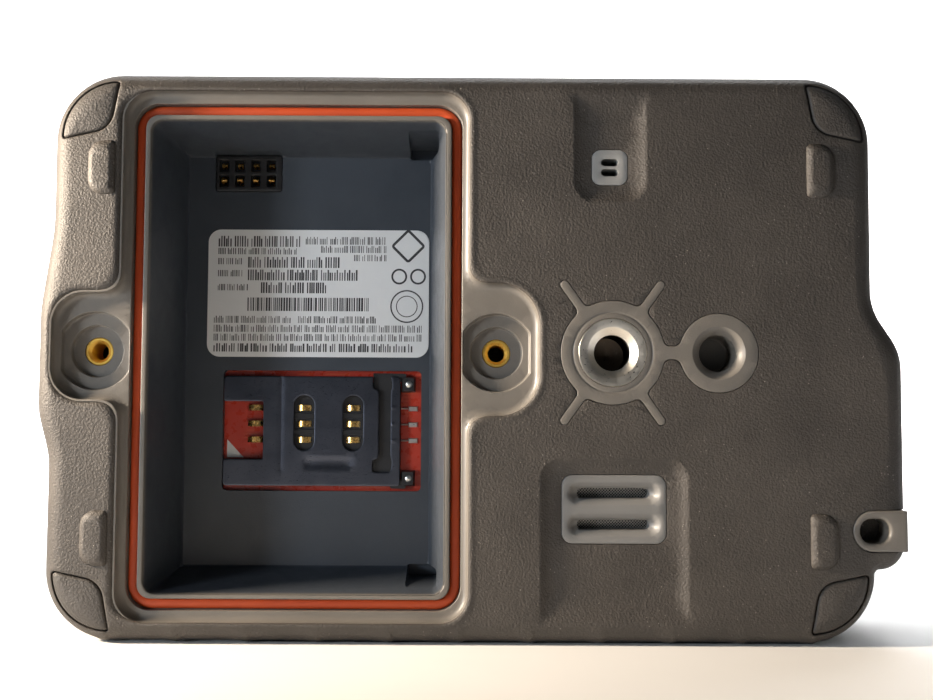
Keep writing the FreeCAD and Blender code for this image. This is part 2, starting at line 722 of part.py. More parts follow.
def make_battery_connector():
    block = Piece("battery_connector")
    block.pad(dim("floor") + 0.1, dim("board_back") - 0.1, centred(-33.8, 71.0, 10.4, 5.8, 0.3))
    block.cut(dim("floor") + 0.1, dim("floor") + 1.3,
              *[centred(x, 71.0, 1.5, 5.0) for x in CONTACT_COLUMNS])
    contacts = Piece("battery_contacts")
    contacts.pad(dim("floor") + 0.3, dim("floor") + 1.3,
                 *[centred(x, z, 1.0, 1.7, 0.3) for x in CONTACT_COLUMNS for z in (69.8, 72.2)])
    return [block, contacts]


def make_sim_reader():
    rear = dim("floor_back")
    board = Piece("sim_board").pad(rear, rear + 0.8, centred(dim("sim_x"), dim("sim_z"), 32.4, 20.2))
    base = Piece("sim_socket_base")
    base.pad(rear - 0.5, rear, rect(-31.0, -11.0, 22.8, 38.0, 0.4))
    base.cut(rear - 0.5, rear, *[centred(x, 30.3, 2.7, 7.4) for x in (-24.0, -16.3)])
    base.pad(rear - 0.9, rear, rect(-11.1, -8.7, 21.4, 22.7, 0.3), rect(-11.1, -8.7, 38.1, 39.4, 0.3))
    rows = [27.8, 30.3, 32.8]
    contacts = Piece("sim_contacts")
    contacts.pad(rear - 0.9, rear, *[centred(x, z, 1.8, 0.9, 0.2) for x in (-24.0, -16.3) for z in rows])
    contacts.pad(rear - 0.2, rear, *[centred(x, z, 1.4, 0.8, 0.2) for x in (-34.2, -7.15) for z in rows])
    pin = Piece("sim_hinge_pin")
    pin.pad(22.9, 37.9, disc(-9.9, rear - 0.45, 0.4), plane="XY")
    cover = Piece("sim_cover")
    cover.pad(rear - 1.3, rear - 1.05, rect(-37.2, -11.9, 22.0, 38.7, 0.5))
    cover.pad(rear - 1.3, rear - 1.05, rect(-12.0, -9.6, 25.0, 35.8))
    cover.cut(rear - 1.3, rear - 1.05, *[centred(x, 30.3, 3.4, 8.2, 1.65) for x in (-24.0, -16.3)])
    cover.cut(rear - 1.3, rear - 1.05, rect(-37.3, -30.9, 26.6, 34.0, 0.3))
    cover.pad(rear - 1.3, rear - 0.3, rect(-36.6, -13.0, 21.8, 22.05), rect(-36.6, -13.0, 38.65, 38.9))
    return [board, base, contacts, pin, cover]


# ---------------------------------------------------------------- front half
def antenna_channel(grow=0.0):
    """Open notch in the front half that the stowed antenna lies in."""
    gap = dim("gap") + 0.1 + grow
    return rect(dim("antenna_left") - gap, dim("antenna_right") + gap,
                dim("axle_z") - dim("antenna_r") - gap, dim("antenna_end") + gap)


PORT = {"door": (30.0, 56.0), "usb": 37.5, "aerial": 48.5, "line": 9.6, "bead": 1.05}
GUARD = {"span": (-24.0, -4.0), "line": 9.8, "half": 3.4, "bead": 0.45}


def make_front_overmould():
    split, front, skin = dim("split"), dim("front"), dim("skin")
    p = Piece("front_overmould")
    rubber_form(p, split, front, front)
    p.remove(core_form("front_core", split, front - skin, front - skin, placed=False))
    p.cut(front - skin - 0.1, front, rect(-52.5, 44.5, 8.5, 74.5, 4.0))
    p.cut(split + 1.2, front, antenna_channel())
    low, high = PORT["door"]
    p.cut(-70.0, -58.0, rect(PORT["line"] - 4.3, PORT["line"] + 4.3, low - 0.3, high + 0.3, 0.5),
          plane="YZ")
    left, right = GUARD["span"]
    p.cut(dim("top") - 3.0, dim("top") + 1.0,
          rect(left - 0.3, right + 0.3, GUARD["line"] - GUARD["half"] - 0.3,
               GUARD["line"] + GUARD["half"] + 0.3, 0.5), plane="XY")
    first = -(dim("ridge_count") - 1) * dim("ridge_pitch") / 2
    p.pad(split, front - dim("edge_round") - 0.4,
          centred(first, dim("under") / 2 + 0.1, dim("ridge_width"), dim("under") + 0.2))
    return p.repeat(dim("ridge_count"), dim("ridge_pitch"))


def make_front_housing():
    split, panel, skin = dim("split"), dim("panel"), dim("skin")
    inner = dim("panel_back")
    p = core_form("front_housing", split, panel, panel)
    p.cut(split, inner, rect(-56.8, 46.4, 4.2, 78.6, 6.0))
    p.pad(split, inner + 0.2, *[disc(x, z, 4.0) for x, z in SCREWS if x < 0])
    p.cut(split, split + 7.0, *[disc(x, z, 1.25) for x, z in SCREWS])
    p.cut(split + 1.2, panel, antenna_channel())
    # display window seat and opening, key holes
    p.cut(panel - 1.3, panel, rect(-44.3, 12.3, 36.7, 68.3, 2.0))
    p.cut(inner, panel, rect(-38.0, 6.0, 41.0, 64.0, 0.8))
    p.cut(inner, panel, *[centred(x, dim("key_z"), 10.6, 6.6, 2.3) for x in key_centres()])
    # port recess with its two openings
    low, high = PORT["door"]
    line = PORT["line"]
    p.cut(-62.0, -59.3, rect(line - 4.3, line + 4.3, low - 0.3, high + 0.3, 0.5), plane="YZ")
    p.cut(-59.4, -56.5, centred(line - 0.8, PORT["usb"], 2.9, 8.1, 0.9), plane="YZ")
    p.cut(-59.4, -56.5, disc(line - 0.8, PORT["aerial"], 2.6), plane="YZ")
    # seat of the emergency button under its guard
    p.cut(80.4, 82.0, rect(-24.3, -3.7, GUARD["line"] - 3.3, GUARD["line"] + 3.0, 0.8), plane="XY")
    p.cut(78.0, 82.0, disc(-14.0, GUARD["line"] - 0.4, 2.6), plane="XY")
    # bore for the antenna hinge pin and groove for the case seal
    p.cut(45.0, 62.4, disc(dim("axle_y"), dim("axle_z"), dim("axle_r") + 0.01), plane="YZ")
    ring = [rect(-57.6 + s, 47.2 - s, 3.1 + s, 79.7 - s, 7.4 - s) for s in (0.0, 0.6)]
    return p.cut(split, split + 0.6, *ring)


def key_centres():
    first = -16.0 - 1.5 * dim("key_pitch")
    return [first + i * dim("key_pitch") for i in range(4)]


def make_case_parts():
    split = dim("split")
    ring = [rect(-57.6 + s, 47.2 - s, 3.1 + s, 79.7 - s, 7.4 - s) for s in (0.02, 0.58)]
    seal = Piece("case_seal").pad(split, split + 0.58, *ring)
    screws = Piece("case_screws")
    screws.pad(BUMPER_FLOOR + 0.1, -10.62, *[disc(x, z, 2.4) for x, z in SCREWS])
    screws.pad(-10.7, split + 6.0, *[disc(x, z, 1.24) for x, z in SCREWS])
    screws.cut(BUMPER_FLOOR, BUMPER_FLOOR + 1.2, *[disc(x, z, 0.9) for x, z in SCREWS])
    return [seal, screws]


def make_display():
    panel, inner = dim("panel"), dim("panel_back")
    window = Piece("display_window").pad(panel - 1.0, panel, rect(-44.2, 12.2, 36.8, 68.2, 1.9))
    gasket = Piece("display_gasket").pad(
        panel - 1.3, panel - 1.0, rect(-44.0, 12.0, 37.0, 68.0, 1.8), rect(-40.0, 8.0, 40.0, 65.0, 1.0))
    module = Piece("display_module").pad(dim("board_front") + 0.1, inner - 0.1, rect(-41.0, 9.0, 39.0, 66.0))
    return [window, gasket, module]


def make_keys():
    panel, inner = dim("panel"), dim("panel_back")
    made = []
    for name, x in zip(("left", "up", "down", "right"), key_centres()):
        key = Piece(f"key_{name}")
        key.pad(inner + 0.6, panel + 0.5, centred(x, dim("key_z"), 10.0, 6.0, 2.0))
        key.soften(lies_at("Y", panel + 0.5), 0.35)
        made.append(key)
    mat = Piece("keypad_mat").pad(dim("board_front") + 0.5, inner - 0.1, rect(-44.0, 12.0, 15.5, 26.5, 1.5))
    domes = Piece("dome_switches").pad(dim("board_front") + 0.02, dim("board_front") + 0.4,
                                       *[disc(x, dim("key_z"), 2.5) for x in key_centres()])
    return made + [mat, domes]


def make_electronics():
    rear, front = dim("board_back"), dim("board_front")
    board = Piece("main_board").pad(rear, front, rect(-49.0, 44.5, 9.0, 74.0, 1.5))
    module = Piece("satellite_module").pad(-6.0, rear - 0.1, rect(8.5, 44.5, 51.5, 73.5, 1.0))
    wireless = Piece("wireless_module_can").pad(rear - 3.0, rear - 0.02, rect(8.0, 27.0, 27.0, 46.0, 0.8))
    power = Piece("power_shield_can").pad(rear - 3.0, rear - 0.02, rect(-26.0, -4.0, 52.0, 70.0, 0.8))
    patch = Piece("positioning_antenna").pad(rear - 4.0, rear - 0.02, rect(30.0, 44.0, 10.0, 24.0, 0.6))
    return [board, module, wireless, power, patch]


def make_antenna():
    y, z, r = dim("axle_y"), dim("axle_z"), dim("antenna_r")
    left, right, end = dim("antenna_left"), dim("antenna_right"), dim("antenna_end")
    clear = dim("axle_r") + dim("running")
    arm = Piece("antenna_arm")
    arm.pad(left, right, disc(y, z, r), plane="YZ")
    arm.pad(left, right, rect(y - r, y + r, z, z + 9.0), plane="YZ")
    arm.pad(y - r, y - 0.05, rect(left, right, z + 8.0, end, 1.6))
    arm.cut(y - r + 1.4, y, rect(left + 1.6, right - 1.6, z + 11.0, end - 1.6, 1.0))
    arm.cut(left, right, disc(y, z, clear), plane="YZ")
    cover = Piece("antenna_cover")
    cover.pad(y + 0.05, y + r, rect(left, right, z + 9.1, end, 1.6))
    cover.soften(lies_at("Y", y + r), 1.4)
    cover.cut(y, y + r - 1.4, rect(left + 1.6, right - 1.6, z + 11.0, end - 1.6, 1.0))
    core = Piece("antenna_core").pad(z + 12.0, end - 2.5, disc((left + right) / 2, y, 3.6), plane="XY")
    pin = Piece("antenna_hinge_pin")
    pin.pad(45.4, 62.3, disc(y, z, dim("axle_r")), plane="YZ")
    pin.pad(45.4, 46.3, disc(y, z, 2.4), plane="YZ")
    spring = Piece("antenna_detent_spring")
    spring.pad(48.05, 48.3, disc(y, z, 4.4), disc(y, z, 1.7), plane="YZ")
    return [arm, cover, core, pin, spring]


def make_ports():
    low, high = PORT["door"]
    line = PORT["line"]
    door = Piece("port_door")
    door.pad(-61.9, -59.8,
             corners([(line - 4.0, low + PORT["bead"], 0), (line + 4.0, low + PORT["bead"], 0),
                      (line + 4.0, high, 0.8), (line - 4.0, high, 0.8)]), plane="YZ")
    door.pad(line - 4.0, line + 4.0, disc(-61.9 + PORT["bead"], low + PORT["bead"], PORT["bead"]))
    door.pad(-59.9, -59.5, centred(line - 0.8, PORT["usb"], 2.2, 7.2, 0.8), plane="YZ")
    door.soften(both(lies_at("X", -61.9), within(-70, -50, high - 1.0, high + 0.1)), 0.5)
    usb = Piece("usb_connector")
    usb.pad(-59.0, -53.0, centred(line - 0.8, PORT["usb"], 2.8, 8.0, 0.8), plane="YZ")
    usb.cut(-59.0, -54.0, centred(line - 0.8, PORT["usb"], 2.2, 7.4, 0.6), plane="YZ")
    usb.pad(-58.4, -53.9, centred(line - 0.8, PORT["usb"], 0.6, 5.6), plane="YZ")
    aerial = Piece("external_antenna_connector")
    aerial.pad(-59.0, -53.0, disc(line - 0.8, PORT["aerial"], 2.5), plane="YZ")
    aerial.cut(-59.0, -54.5, disc(line - 0.8, PORT["aerial"], 1.9), plane="YZ")
    aerial.pad(-58.6, -54.4, disc(line - 0.8, PORT["aerial"], 0.5), plane="YZ")
    return [door, usb, aerial]


def make_emergency_button():
    left, right = GUARD["span"]
    line, half = GUARD["line"], GUARD["half"]
    top = dim("top")
    guard = Piece("sos_guard")
    bead = GUARD["bead"]
    hinge = line - half + bead
    guard.pad(top - 2 * bead, top, corners([(left, hinge, 0), (right, hinge, 0),
                                            (right, line + half, 0.8), (left, line + half, 0.8)]), plane="XY")
    guard.pad(left, right, disc(hinge, top - bead, bead), plane="YZ")
    button = Piece("sos_button").pad(78.7, 81.0, disc(-14.0, line - 0.4, 2.3), plane="XY")
    switch = Piece("sos_switch").pad(76.0, 77.5, centred(-14.0, line - 0.4, 4.0, 2.2), plane="XY")
    return [guard, button, switch]


def make_everything():
    made = [make_rear_overmould(), make_rear_housing(), make_bay_seal(), make_cover_screw_inserts(),
            make_tripod_insert(), make_front_overmould(), make_front_housing()]
    made += make_rear_trim() + make_battery_connector() + make_sim_reader()
    made += make_case_parts() + make_display() + make_keys() + make_electronics()
    made += make_antenna() + make_ports() + make_emergency_button()
    return [piece.body for piece in made] + make_bumpers()


def check(objects):
    """Stop on any failed feature, missing shape or pocket that removed nothing."""
    for obj in doc.Objects:
        if "Invalid" in obj.State or "Error" in obj.State:
            raise RuntimeError(f"{obj.Name} failed: {obj.State}")
        if obj.TypeId == "PartDesign::Pocket" and obj.Shape.Volume >= obj.BaseFeature.Shape.Volume - 1e-6:
            raise RuntimeError(f"{obj.Name} cuts nothing")
    for obj in objects:
        if obj.Shape.isNull() or not obj.Shape.isValid():
            raise RuntimeError(f"{obj.Label} has no valid shape")


parts = make_everything()
doc.recompute()
check(parts)
os.makedirs("parts", exist_ok=True)
for part in parts:
    part.Shape.exportStep(f"parts/{part.Label}.step")
    box = part.Shape.BoundBox
    print(f"{part.Label:28s} solids {len(part.Shape.Solids)} volume {part.Shape.Volume:9.1f} "
          f"x {box.XMin:7.2f}..{box.XMax:6.2f} y {box.YMin:7.2f}..{box.YMax:6.2f} "
          f"z {box.ZMin:6.2f}..{box.ZMax:6.2f}")
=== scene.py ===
"""Looks of the rugged satellite phone: materials, fine shapes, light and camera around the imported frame."""

import json
import math
import random

import bmesh
import bpy
import numpy as np
from mathutils import Matrix, Vector
from mathutils.geometry import delaunay_2d_cdt


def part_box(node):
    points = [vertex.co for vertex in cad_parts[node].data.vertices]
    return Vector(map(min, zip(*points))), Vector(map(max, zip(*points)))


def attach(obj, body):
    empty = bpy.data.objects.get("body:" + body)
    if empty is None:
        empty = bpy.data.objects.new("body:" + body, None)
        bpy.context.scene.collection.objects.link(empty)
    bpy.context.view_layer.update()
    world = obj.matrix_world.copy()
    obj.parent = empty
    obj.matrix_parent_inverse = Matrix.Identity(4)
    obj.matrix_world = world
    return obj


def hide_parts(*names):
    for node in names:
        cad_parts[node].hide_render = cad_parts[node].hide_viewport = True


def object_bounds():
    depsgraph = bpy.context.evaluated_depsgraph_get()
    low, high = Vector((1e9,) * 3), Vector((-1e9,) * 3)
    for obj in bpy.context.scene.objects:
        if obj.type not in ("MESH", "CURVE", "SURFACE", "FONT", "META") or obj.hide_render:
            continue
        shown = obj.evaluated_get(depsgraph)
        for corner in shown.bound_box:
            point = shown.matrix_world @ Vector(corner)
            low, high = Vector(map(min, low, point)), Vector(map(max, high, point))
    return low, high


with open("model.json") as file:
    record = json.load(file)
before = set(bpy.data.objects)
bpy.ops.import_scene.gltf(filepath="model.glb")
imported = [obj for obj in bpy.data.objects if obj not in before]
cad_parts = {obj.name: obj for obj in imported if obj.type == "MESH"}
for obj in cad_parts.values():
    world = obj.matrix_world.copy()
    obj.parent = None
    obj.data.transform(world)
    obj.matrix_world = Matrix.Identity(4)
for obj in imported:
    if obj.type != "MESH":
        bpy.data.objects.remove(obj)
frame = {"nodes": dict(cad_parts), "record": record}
CAD_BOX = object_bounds()
NODES = frame["nodes"]
MM = 0.001


# ---------------------------------------------------------------- materials

class Paint:
    """A material on one Principled shader, with short calls for the nodes that feed it."""

    def __init__(self, name, **inputs):
        self.material = bpy.data.materials.new(name)
        self.material.use_nodes = True
        self.tree = self.material.node_tree
        self.shader = self.tree.nodes["Principled BSDF"]
        for key, value in inputs.items():
            self.set(key.replace("_", " "), value)

    def set(self, socket, value):
        """Gives a shader input a plain value or links an output to it."""
        target = self.shader.inputs[socket]
        if isinstance(value, bpy.types.NodeSocket):
            self.tree.links.new(value, target)
        else:
            target.default_value = value

    def node(self, kind, feeds=None, **settings):
        made = self.tree.nodes.new(kind)
        for key, value in settings.items():
            setattr(made, key, value)
        for key, value in (feeds or {}).items():
            socket = made.inputs[key]
            if isinstance(value, bpy.types.NodeSocket):
                self.tree.links.new(value, socket)
            else:
                socket.default_value = value
        return made

    def place(self):
        """Places in the part's own frame, in metres."""
        return self.node("ShaderNodeTexCoord").outputs["Object"]

    def stretched(self, scale):
        feeds = {"Vector": self.place(), "Scale": scale}
        return self.node("ShaderNodeMapping", feeds).outputs["Vector"]

    def noise(self, scale, detail=2.0, roughness=0.5, distortion=0.0, at=None):
        feeds = {"Vector": at or self.place(), "Scale": scale, "Detail": detail,
                 "Roughness": roughness, "Distortion": distortion}
        return self.node("ShaderNodeTexNoise", feeds).outputs["Fac"]

    def voronoi(self, scale, feature="F1"):
        feeds = {"Vector": self.place(), "Scale": scale}
        return self.node("ShaderNodeTexVoronoi", feeds, feature=feature).outputs["Distance"]

    def math(self, operation, first, second=0.0, clamp=False):
        made = self.node("ShaderNodeMath", operation=operation, use_clamp=clamp)
        for index, value in enumerate((first, second)):
            if isinstance(value, bpy.types.NodeSocket):
                self.tree.links.new(value, made.inputs[index])
            else:
                made.inputs[index].default_value = value
        return made.outputs[0]

    def axis(self, letter):
        return self.node("ShaderNodeSeparateXYZ", {"Vector": self.place()}).outputs[letter]

    def ramp(self, value, *stops):
        """A smooth change of value or colour between (place, colour) stops."""
        made = self.node("ShaderNodeValToRGB", {"Fac": value})
        elements = made.color_ramp.elements
        while len(elements) < len(stops):
            elements.new(0.5)
        for element, (place, colour) in zip(elements, stops):
            element.position = place
            if isinstance(colour, (int, float)):
                colour = (colour, colour, colour)
            element.color = (*colour, 1.0)
        return made.outputs["Color"]

    def spread(self, value, low, high, start=0.0, end=1.0):
        feeds = {"Value": value, "From Min": low, "From Max": high, "To Min": start, "To Max": end}
        return self.node("ShaderNodeMapRange", feeds).outputs["Result"]

    def mix(self, amount, first, second):
        made = self.node("ShaderNodeMix", data_type="RGBA")
        values = {0: amount, 6: first, 7: second}
        for index, value in values.items():
            if isinstance(value, bpy.types.NodeSocket):
                self.tree.links.new(value, made.inputs[index])
            elif index:
                made.inputs[index].default_value = (*value, 1.0)
            else:
                made.inputs[index].default_value = value
        return made.outputs[2]

    def bump(self, height, distance, strength=1.0):
        """Adds relief of that depth in metres, over any relief already there."""
        feeds = {"Height": height, "Distance": distance, "Strength": strength}
        if self.shader.inputs["Normal"].is_linked:
            feeds["Normal"] = self.shader.inputs["Normal"].links[0].from_socket
        self.set("Normal", self.node("ShaderNodeBump", feeds).outputs["Normal"])


DUST = (0.42, 0.38, 0.33)
BAY_PAINTED_SHADE = (-0.0129, -0.0122)       # y, in metres, where the bay's inner colour starts and is full; that colour is painted shade
BORE_SHADE = (-0.0137, -0.0118)      # the same for the dull bottom of a bore


def rubber(name, dark, light, speck=0.5):
    """Moulded elastomer with a fine leather grain, pale dust in the grain and a dry sheen."""
    paint = Paint(name, Roughness=0.62, IOR=1.5)
    grain = paint.voronoi(3400, "SMOOTH_F1")
    pores = paint.noise(8000, 3, 0.6)
    cloud = paint.noise(90, 4, 0.6)
    body = paint.ramp(cloud, (0.3, dark), (0.75, light))
    dust = paint.spread(paint.voronoi(1500), 0.16, 0.05)
    thin = paint.math("MULTIPLY", dust, paint.spread(paint.noise(420, 2), 0.5, 0.62))
    amount = paint.math("MULTIPLY", thin, speck, clamp=True)
    paint.set("Base Color", paint.mix(amount, body, DUST))
    paint.set("Roughness", paint.spread(pores, 0.3, 0.75, 0.5, 0.74))
    paint.bump(paint.math("ADD", grain, paint.math("MULTIPLY", pores, 0.5)), 0.00016, 0.5)
    return paint.material


def plastic(name, dark, light, rough, deep=None):
    """Moulded plastic with a fine spark-eroded texture and faint handling marks.

    deep holds two colours for the inside of the battery bay: painted shade, darker and cooler than the same
    plastic outside it.
    """
    paint = Paint(name, IOR=1.46)
    cloud = paint.noise(60, 5, 0.6)
    colour = paint.ramp(cloud, (0.25, dark), (0.8, light))
    # painted shade: inside the battery bay the colour turns darker and cooler with depth
    if deep:
        inner = paint.ramp(cloud, (0.25, deep[0]), (0.8, deep[1]))
        centre_x, centre_z, half_x, half_z = BAY_INSIDE
        off_x = paint.math("ABSOLUTE", paint.math("SUBTRACT", paint.axis("X"), centre_x))
        off_z = paint.math("ABSOLUTE", paint.math("SUBTRACT", paint.axis("Z"), centre_z))
        beyond_x = paint.math("SUBTRACT", off_x, half_x)
        beyond_z = paint.math("SUBTRACT", off_z, half_z)
        inside = paint.spread(paint.math("MAXIMUM", beyond_x, beyond_z), 0.0, -0.0002)
        painted_shade = paint.math("MULTIPLY", inside, paint.spread(paint.axis("Y"), *BAY_PAINTED_SHADE))
        colour = paint.mix(painted_shade, colour, inner)
    paint.set("Base Color", colour)
    fine = paint.noise(5000, 2, 0.6)
    smear = paint.noise(220, 4, 0.65, 0.6)
    paint.set("Roughness", paint.spread(smear, 0.3, 0.75, rough - 0.07, rough + 0.1))
    paint.bump(fine, 0.00003, 0.6)
    return paint.material


def metal(name, colour, rough, brushed=(1, 1, 1), tint=None, deep=None):
    """Bare or plated metal with fine tool marks; brushed stretches them along an axis.

    deep is a duller colour for the bottom of a bore in the back.
    """
    paint = Paint(name, Metallic=1.0)
    at = paint.stretched(brushed)
    marks = paint.noise(2600, 4, 0.65, at=at)
    cloud = paint.noise(240, 3)
    skin = paint.ramp(cloud, (0.3, colour), (0.75, tint or colour))
    if deep:
        skin = paint.mix(paint.spread(paint.axis("Y"), *BORE_SHADE), skin, deep)
    paint.set("Base Color", skin)
    paint.set("Roughness", paint.spread(marks, 0.3, 0.7, rough * 0.75, rough * 1.35))
    paint.bump(marks, 0.000012, 0.5)
    return paint.material


def glass(name, colour):
    paint = Paint(name, IOR=1.5, Transmission_Weight=0.0)
    paint.set("Base Color", (*colour, 1.0))
    paint.set("Roughness", paint.spread(paint.noise(160, 4), 0.3, 0.8, 0.04, 0.09))
    paint.set("Coat Weight", 1.0)
    paint.set("Coat Roughness", 0.03)
    return paint.material


def circuit(name, mask, copper):
    """Solder mask with traces just under it and bare pads."""
    paint = Paint(name, IOR=1.5)
    lanes = paint.math("FRACT", paint.math("MULTIPLY", paint.axis("Z"), 1700))
    trace = paint.spread(lanes, 0.42, 0.6)
    broken = paint.math("MULTIPLY", trace, paint.spread(paint.noise(180, 1), 0.55, 0.6, 0.0, 0.45))
    paint.set("Base Color", paint.mix(broken, mask, copper))
    paint.set("Roughness", paint.spread(paint.noise(900, 3), 0.3, 0.7, 0.22, 0.38))
    paint.bump(broken, 0.00003, 0.7)
    return paint.material


ring_low, ring_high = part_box("bay_seal")
LIP = 0.0022                         # from the seal's outside to the mouth of the bay, metres
BAY_INSIDE = ((ring_low[0] + ring_high[0]) / 2, (ring_low[2] + ring_high[2]) / 2,
              (ring_high[0] - ring_low[0]) / 2 - LIP, (ring_high[2] - ring_low[2]) / 2 - LIP)

MATERIALS = {
    "rubber": rubber("overmould rubber", (0.039, 0.033, 0.028), (0.061, 0.052, 0.044)),
    "bumper": rubber("bumper rubber", (0.036, 0.031, 0.027), (0.056, 0.049, 0.043), 0.4),
    "plate": plastic("housing plastic", (0.13, 0.118, 0.104), (0.165, 0.15, 0.132), 0.4),
    # the housing's deep colours are painted shade inside the battery bay
    "housing": plastic("rear housing plastic", (0.13, 0.118, 0.104), (0.165, 0.15, 0.132), 0.4,
                       deep=((0.036, 0.043, 0.054), (0.05, 0.058, 0.071))),
    "vent": plastic("plate plastic", (0.25, 0.246, 0.238), (0.29, 0.285, 0.276), 0.4),
    "grille": plastic("speaker plate plastic", (0.175, 0.17, 0.163), (0.21, 0.205, 0.197), 0.4),
    "front": plastic("front housing plastic", (0.05, 0.049, 0.048), (0.07, 0.069, 0.067), 0.42),
    "seal": plastic("bay seal silicone", (0.42, 0.05, 0.01), (0.54, 0.075, 0.016), 0.5),
    "brass": metal("brass", (0.95, 0.62, 0.14), 0.42, tint=(0.85, 0.52, 0.1)),
    "steel": metal("turned steel", (0.9, 0.85, 0.77), 0.34, tint=(0.7, 0.66, 0.59),
                   deep=(0.1, 0.075, 0.055)),
    "spring": metal("spring steel", (0.45, 0.44, 0.43), 0.3),
    "tin": metal("tinned can", (0.62, 0.62, 0.6), 0.34),
    "gold": metal("gold plate", (0.9, 0.58, 0.2), 0.26, tint=(0.75, 0.42, 0.11)),
    "blued": metal("blued steel", (0.1, 0.108, 0.135), 0.34, (1, 1, 6), (0.068, 0.074, 0.095)),
    "black": plastic("connector nylon", (0.016, 0.016, 0.018), (0.026, 0.026, 0.028), 0.36),
    "red_board": circuit("red solder mask", (0.42, 0.036, 0.018), (0.54, 0.1, 0.04)),
    "green_board": circuit("green solder mask", (0.012, 0.07, 0.035), (0.05, 0.17, 0.07)),
    "ink": plastic("label ink", (0.03, 0.03, 0.035), (0.05, 0.05, 0.055), 0.5),
    "paper": plastic("label stock", (0.62, 0.63, 0.64), (0.68, 0.69, 0.7), 0.5),
    "mesh": metal("woven mesh", (0.5, 0.48, 0.45), 0.4),
    "foam": rubber("display foam", (0.02, 0.02, 0.02), (0.03, 0.03, 0.03), 0.0),
    "glass": glass("display glass", (0.012, 0.013, 0.015)),
    "key": plastic("key cap", (0.09, 0.095, 0.1), (0.12, 0.125, 0.13), 0.45),
    "ceramic": plastic("antenna ceramic", (0.55, 0.48, 0.36), (0.62, 0.55, 0.43), 0.6),
    "orange": plastic("guard plastic", (0.55, 0.1, 0.015), (0.65, 0.14, 0.02), 0.35),
    "red": plastic("button plastic", (0.45, 0.012, 0.008), (0.55, 0.02, 0.012), 0.35),
}

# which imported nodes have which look
NODE_LOOKS = {
    "rubber": "rear_overmould front_overmould antenna_cover",
    "plate": "rear_housing",
    "front": "front_housing antenna_arm",
    "seal": "bay_seal",
    "brass": "cover_screw_inserts",
    "steel": "tripod_insert sim_hinge_pin case_screws antenna_hinge_pin",
    "paper": "rating_label",
    "mesh": "speaker_mesh",
    "black": "vent_membrane speaker battery_connector sim_socket_base sos_switch",
    "gold": "battery_contacts sim_contacts external_antenna_connector",
    "red_board": "sim_board",
    "blued": "sim_cover",
    "foam": "case_seal display_gasket keypad_mat",
    "glass": "display_window display_module",
    "key": "key_left key_up key_down key_right",
    "tin": "dome_switches satellite_module wireless_module_can power_shield_can usb_connector",
    "green_board": "main_board",
    "ceramic": "positioning_antenna antenna_core",
    "spring": "antenna_detent_spring",
    "bumper": "port_door corner_bumper_top_left corner_bumper_top_right corner_bumper_bottom_left "
              "corner_bumper_bottom_right",
    "orange": "sos_guard",
    "red": "sos_button",
}


for look_name, node_names in NODE_LOOKS.items():
    for node_name in node_names.split():
        dressed = NODES[node_name].data
        dressed.materials.clear()
        dressed.materials.append(MATERIALS[look_name])

# ---------------------------------------------------------------- shapes over X and Z
# A field is a function of x and z arrays that gives a signed distance: negative inside the shape.

def box_field(x0, x1, z0, z1, radius=0.0):
    middle_x, middle_z = (x0 + x1) / 2, (z0 + z1) / 2
    half_x, half_z = (x1 - x0) / 2 - radius, (z1 - z0) / 2 - radius

    def field(x, z):
        beyond_x, beyond_z = np.abs(x - middle_x) - half_x, np.abs(z - middle_z) - half_z
        outside = np.hypot(np.maximum(beyond_x, 0), np.maximum(beyond_z, 0))
        return outside + np.minimum(np.maximum(beyond_x, beyond_z), 0) - radius
    return field


def centred_field(x, z, length, height, radius=0.0):
    return box_field(x - length / 2, x + length / 2, z - height / 2, z + height / 2, radius)


def disc_field(x0, z0, radius):
    return lambda x, z: np.hypot(x - x0, z - z0) - radius


def bar_field(x0, z0, x1, z1, width):
    """A bar of that width with round ends."""
    along = np.array([x1 - x0, z1 - z0])
    length = np.hypot(*along)

    def field(x, z):
        reach = np.clip(((x - x0) * along[0] + (z - z0) * along[1]) / length ** 2, 0, 1)
        return np.hypot(x - x0 - reach * along[0], z - z0 - reach * along[1]) - width / 2
    return field


def rounded_outline(spots, spacing=0.35):
    """Points along a closed outline through (x, z, radius) corners, listed anticlockwise."""
    path = []
    for i, (x, z, radius) in enumerate(spots):
        spot = Vector((x, z))
        before = (Vector(spots[i - 1][:2]) - spot).normalized()
        after = (Vector(spots[(i + 1) % len(spots)][:2]) - spot).normalized()
        half = before.angle(after) / 2
        centre = spot + (before + after).normalized() * radius / math.sin(half)
        first = spot + before * radius / math.tan(half) - centre
        last = spot + after * radius / math.tan(half) - centre
        turn = first.angle_signed(last) if radius else 0.0
        pieces = max(1, round(abs(turn) * radius / spacing))
        for k in range(pieces + 1):
            angle = -turn * k / pieces
            arm = Matrix.Rotation(angle, 2) @ first
            path.append(centre + arm)
    return np.array([tuple(p) for p in path])


def outline_field(path):
    """Signed distance from a closed outline of points."""
    starts, ends = path, np.roll(path, -1, axis=0)

    def field(x, z):
        nearest = np.full(np.shape(x), 1e9)
        inside = np.zeros(np.shape(x), bool)
        for (x0, z0), (x1, z1) in zip(starts, ends):
            along_x, along_z = x1 - x0, z1 - z0
            square = along_x ** 2 + along_z ** 2
            if square < 1e-12:
                continue
            reach = np.clip(((x - x0) * along_x + (z - z0) * along_z) / square, 0, 1)
            nearest = np.minimum(nearest, (x - x0 - reach * along_x) ** 2 + (z - z0 - reach * along_z) ** 2)
            if z0 != z1:
                crosses = ((z0 > z) != (z1 > z)) & (x < along_x * (z - z0) / along_z + x0)
                inside ^= crosses
        return np.where(inside, -1, 1) * np.sqrt(nearest)
    return field


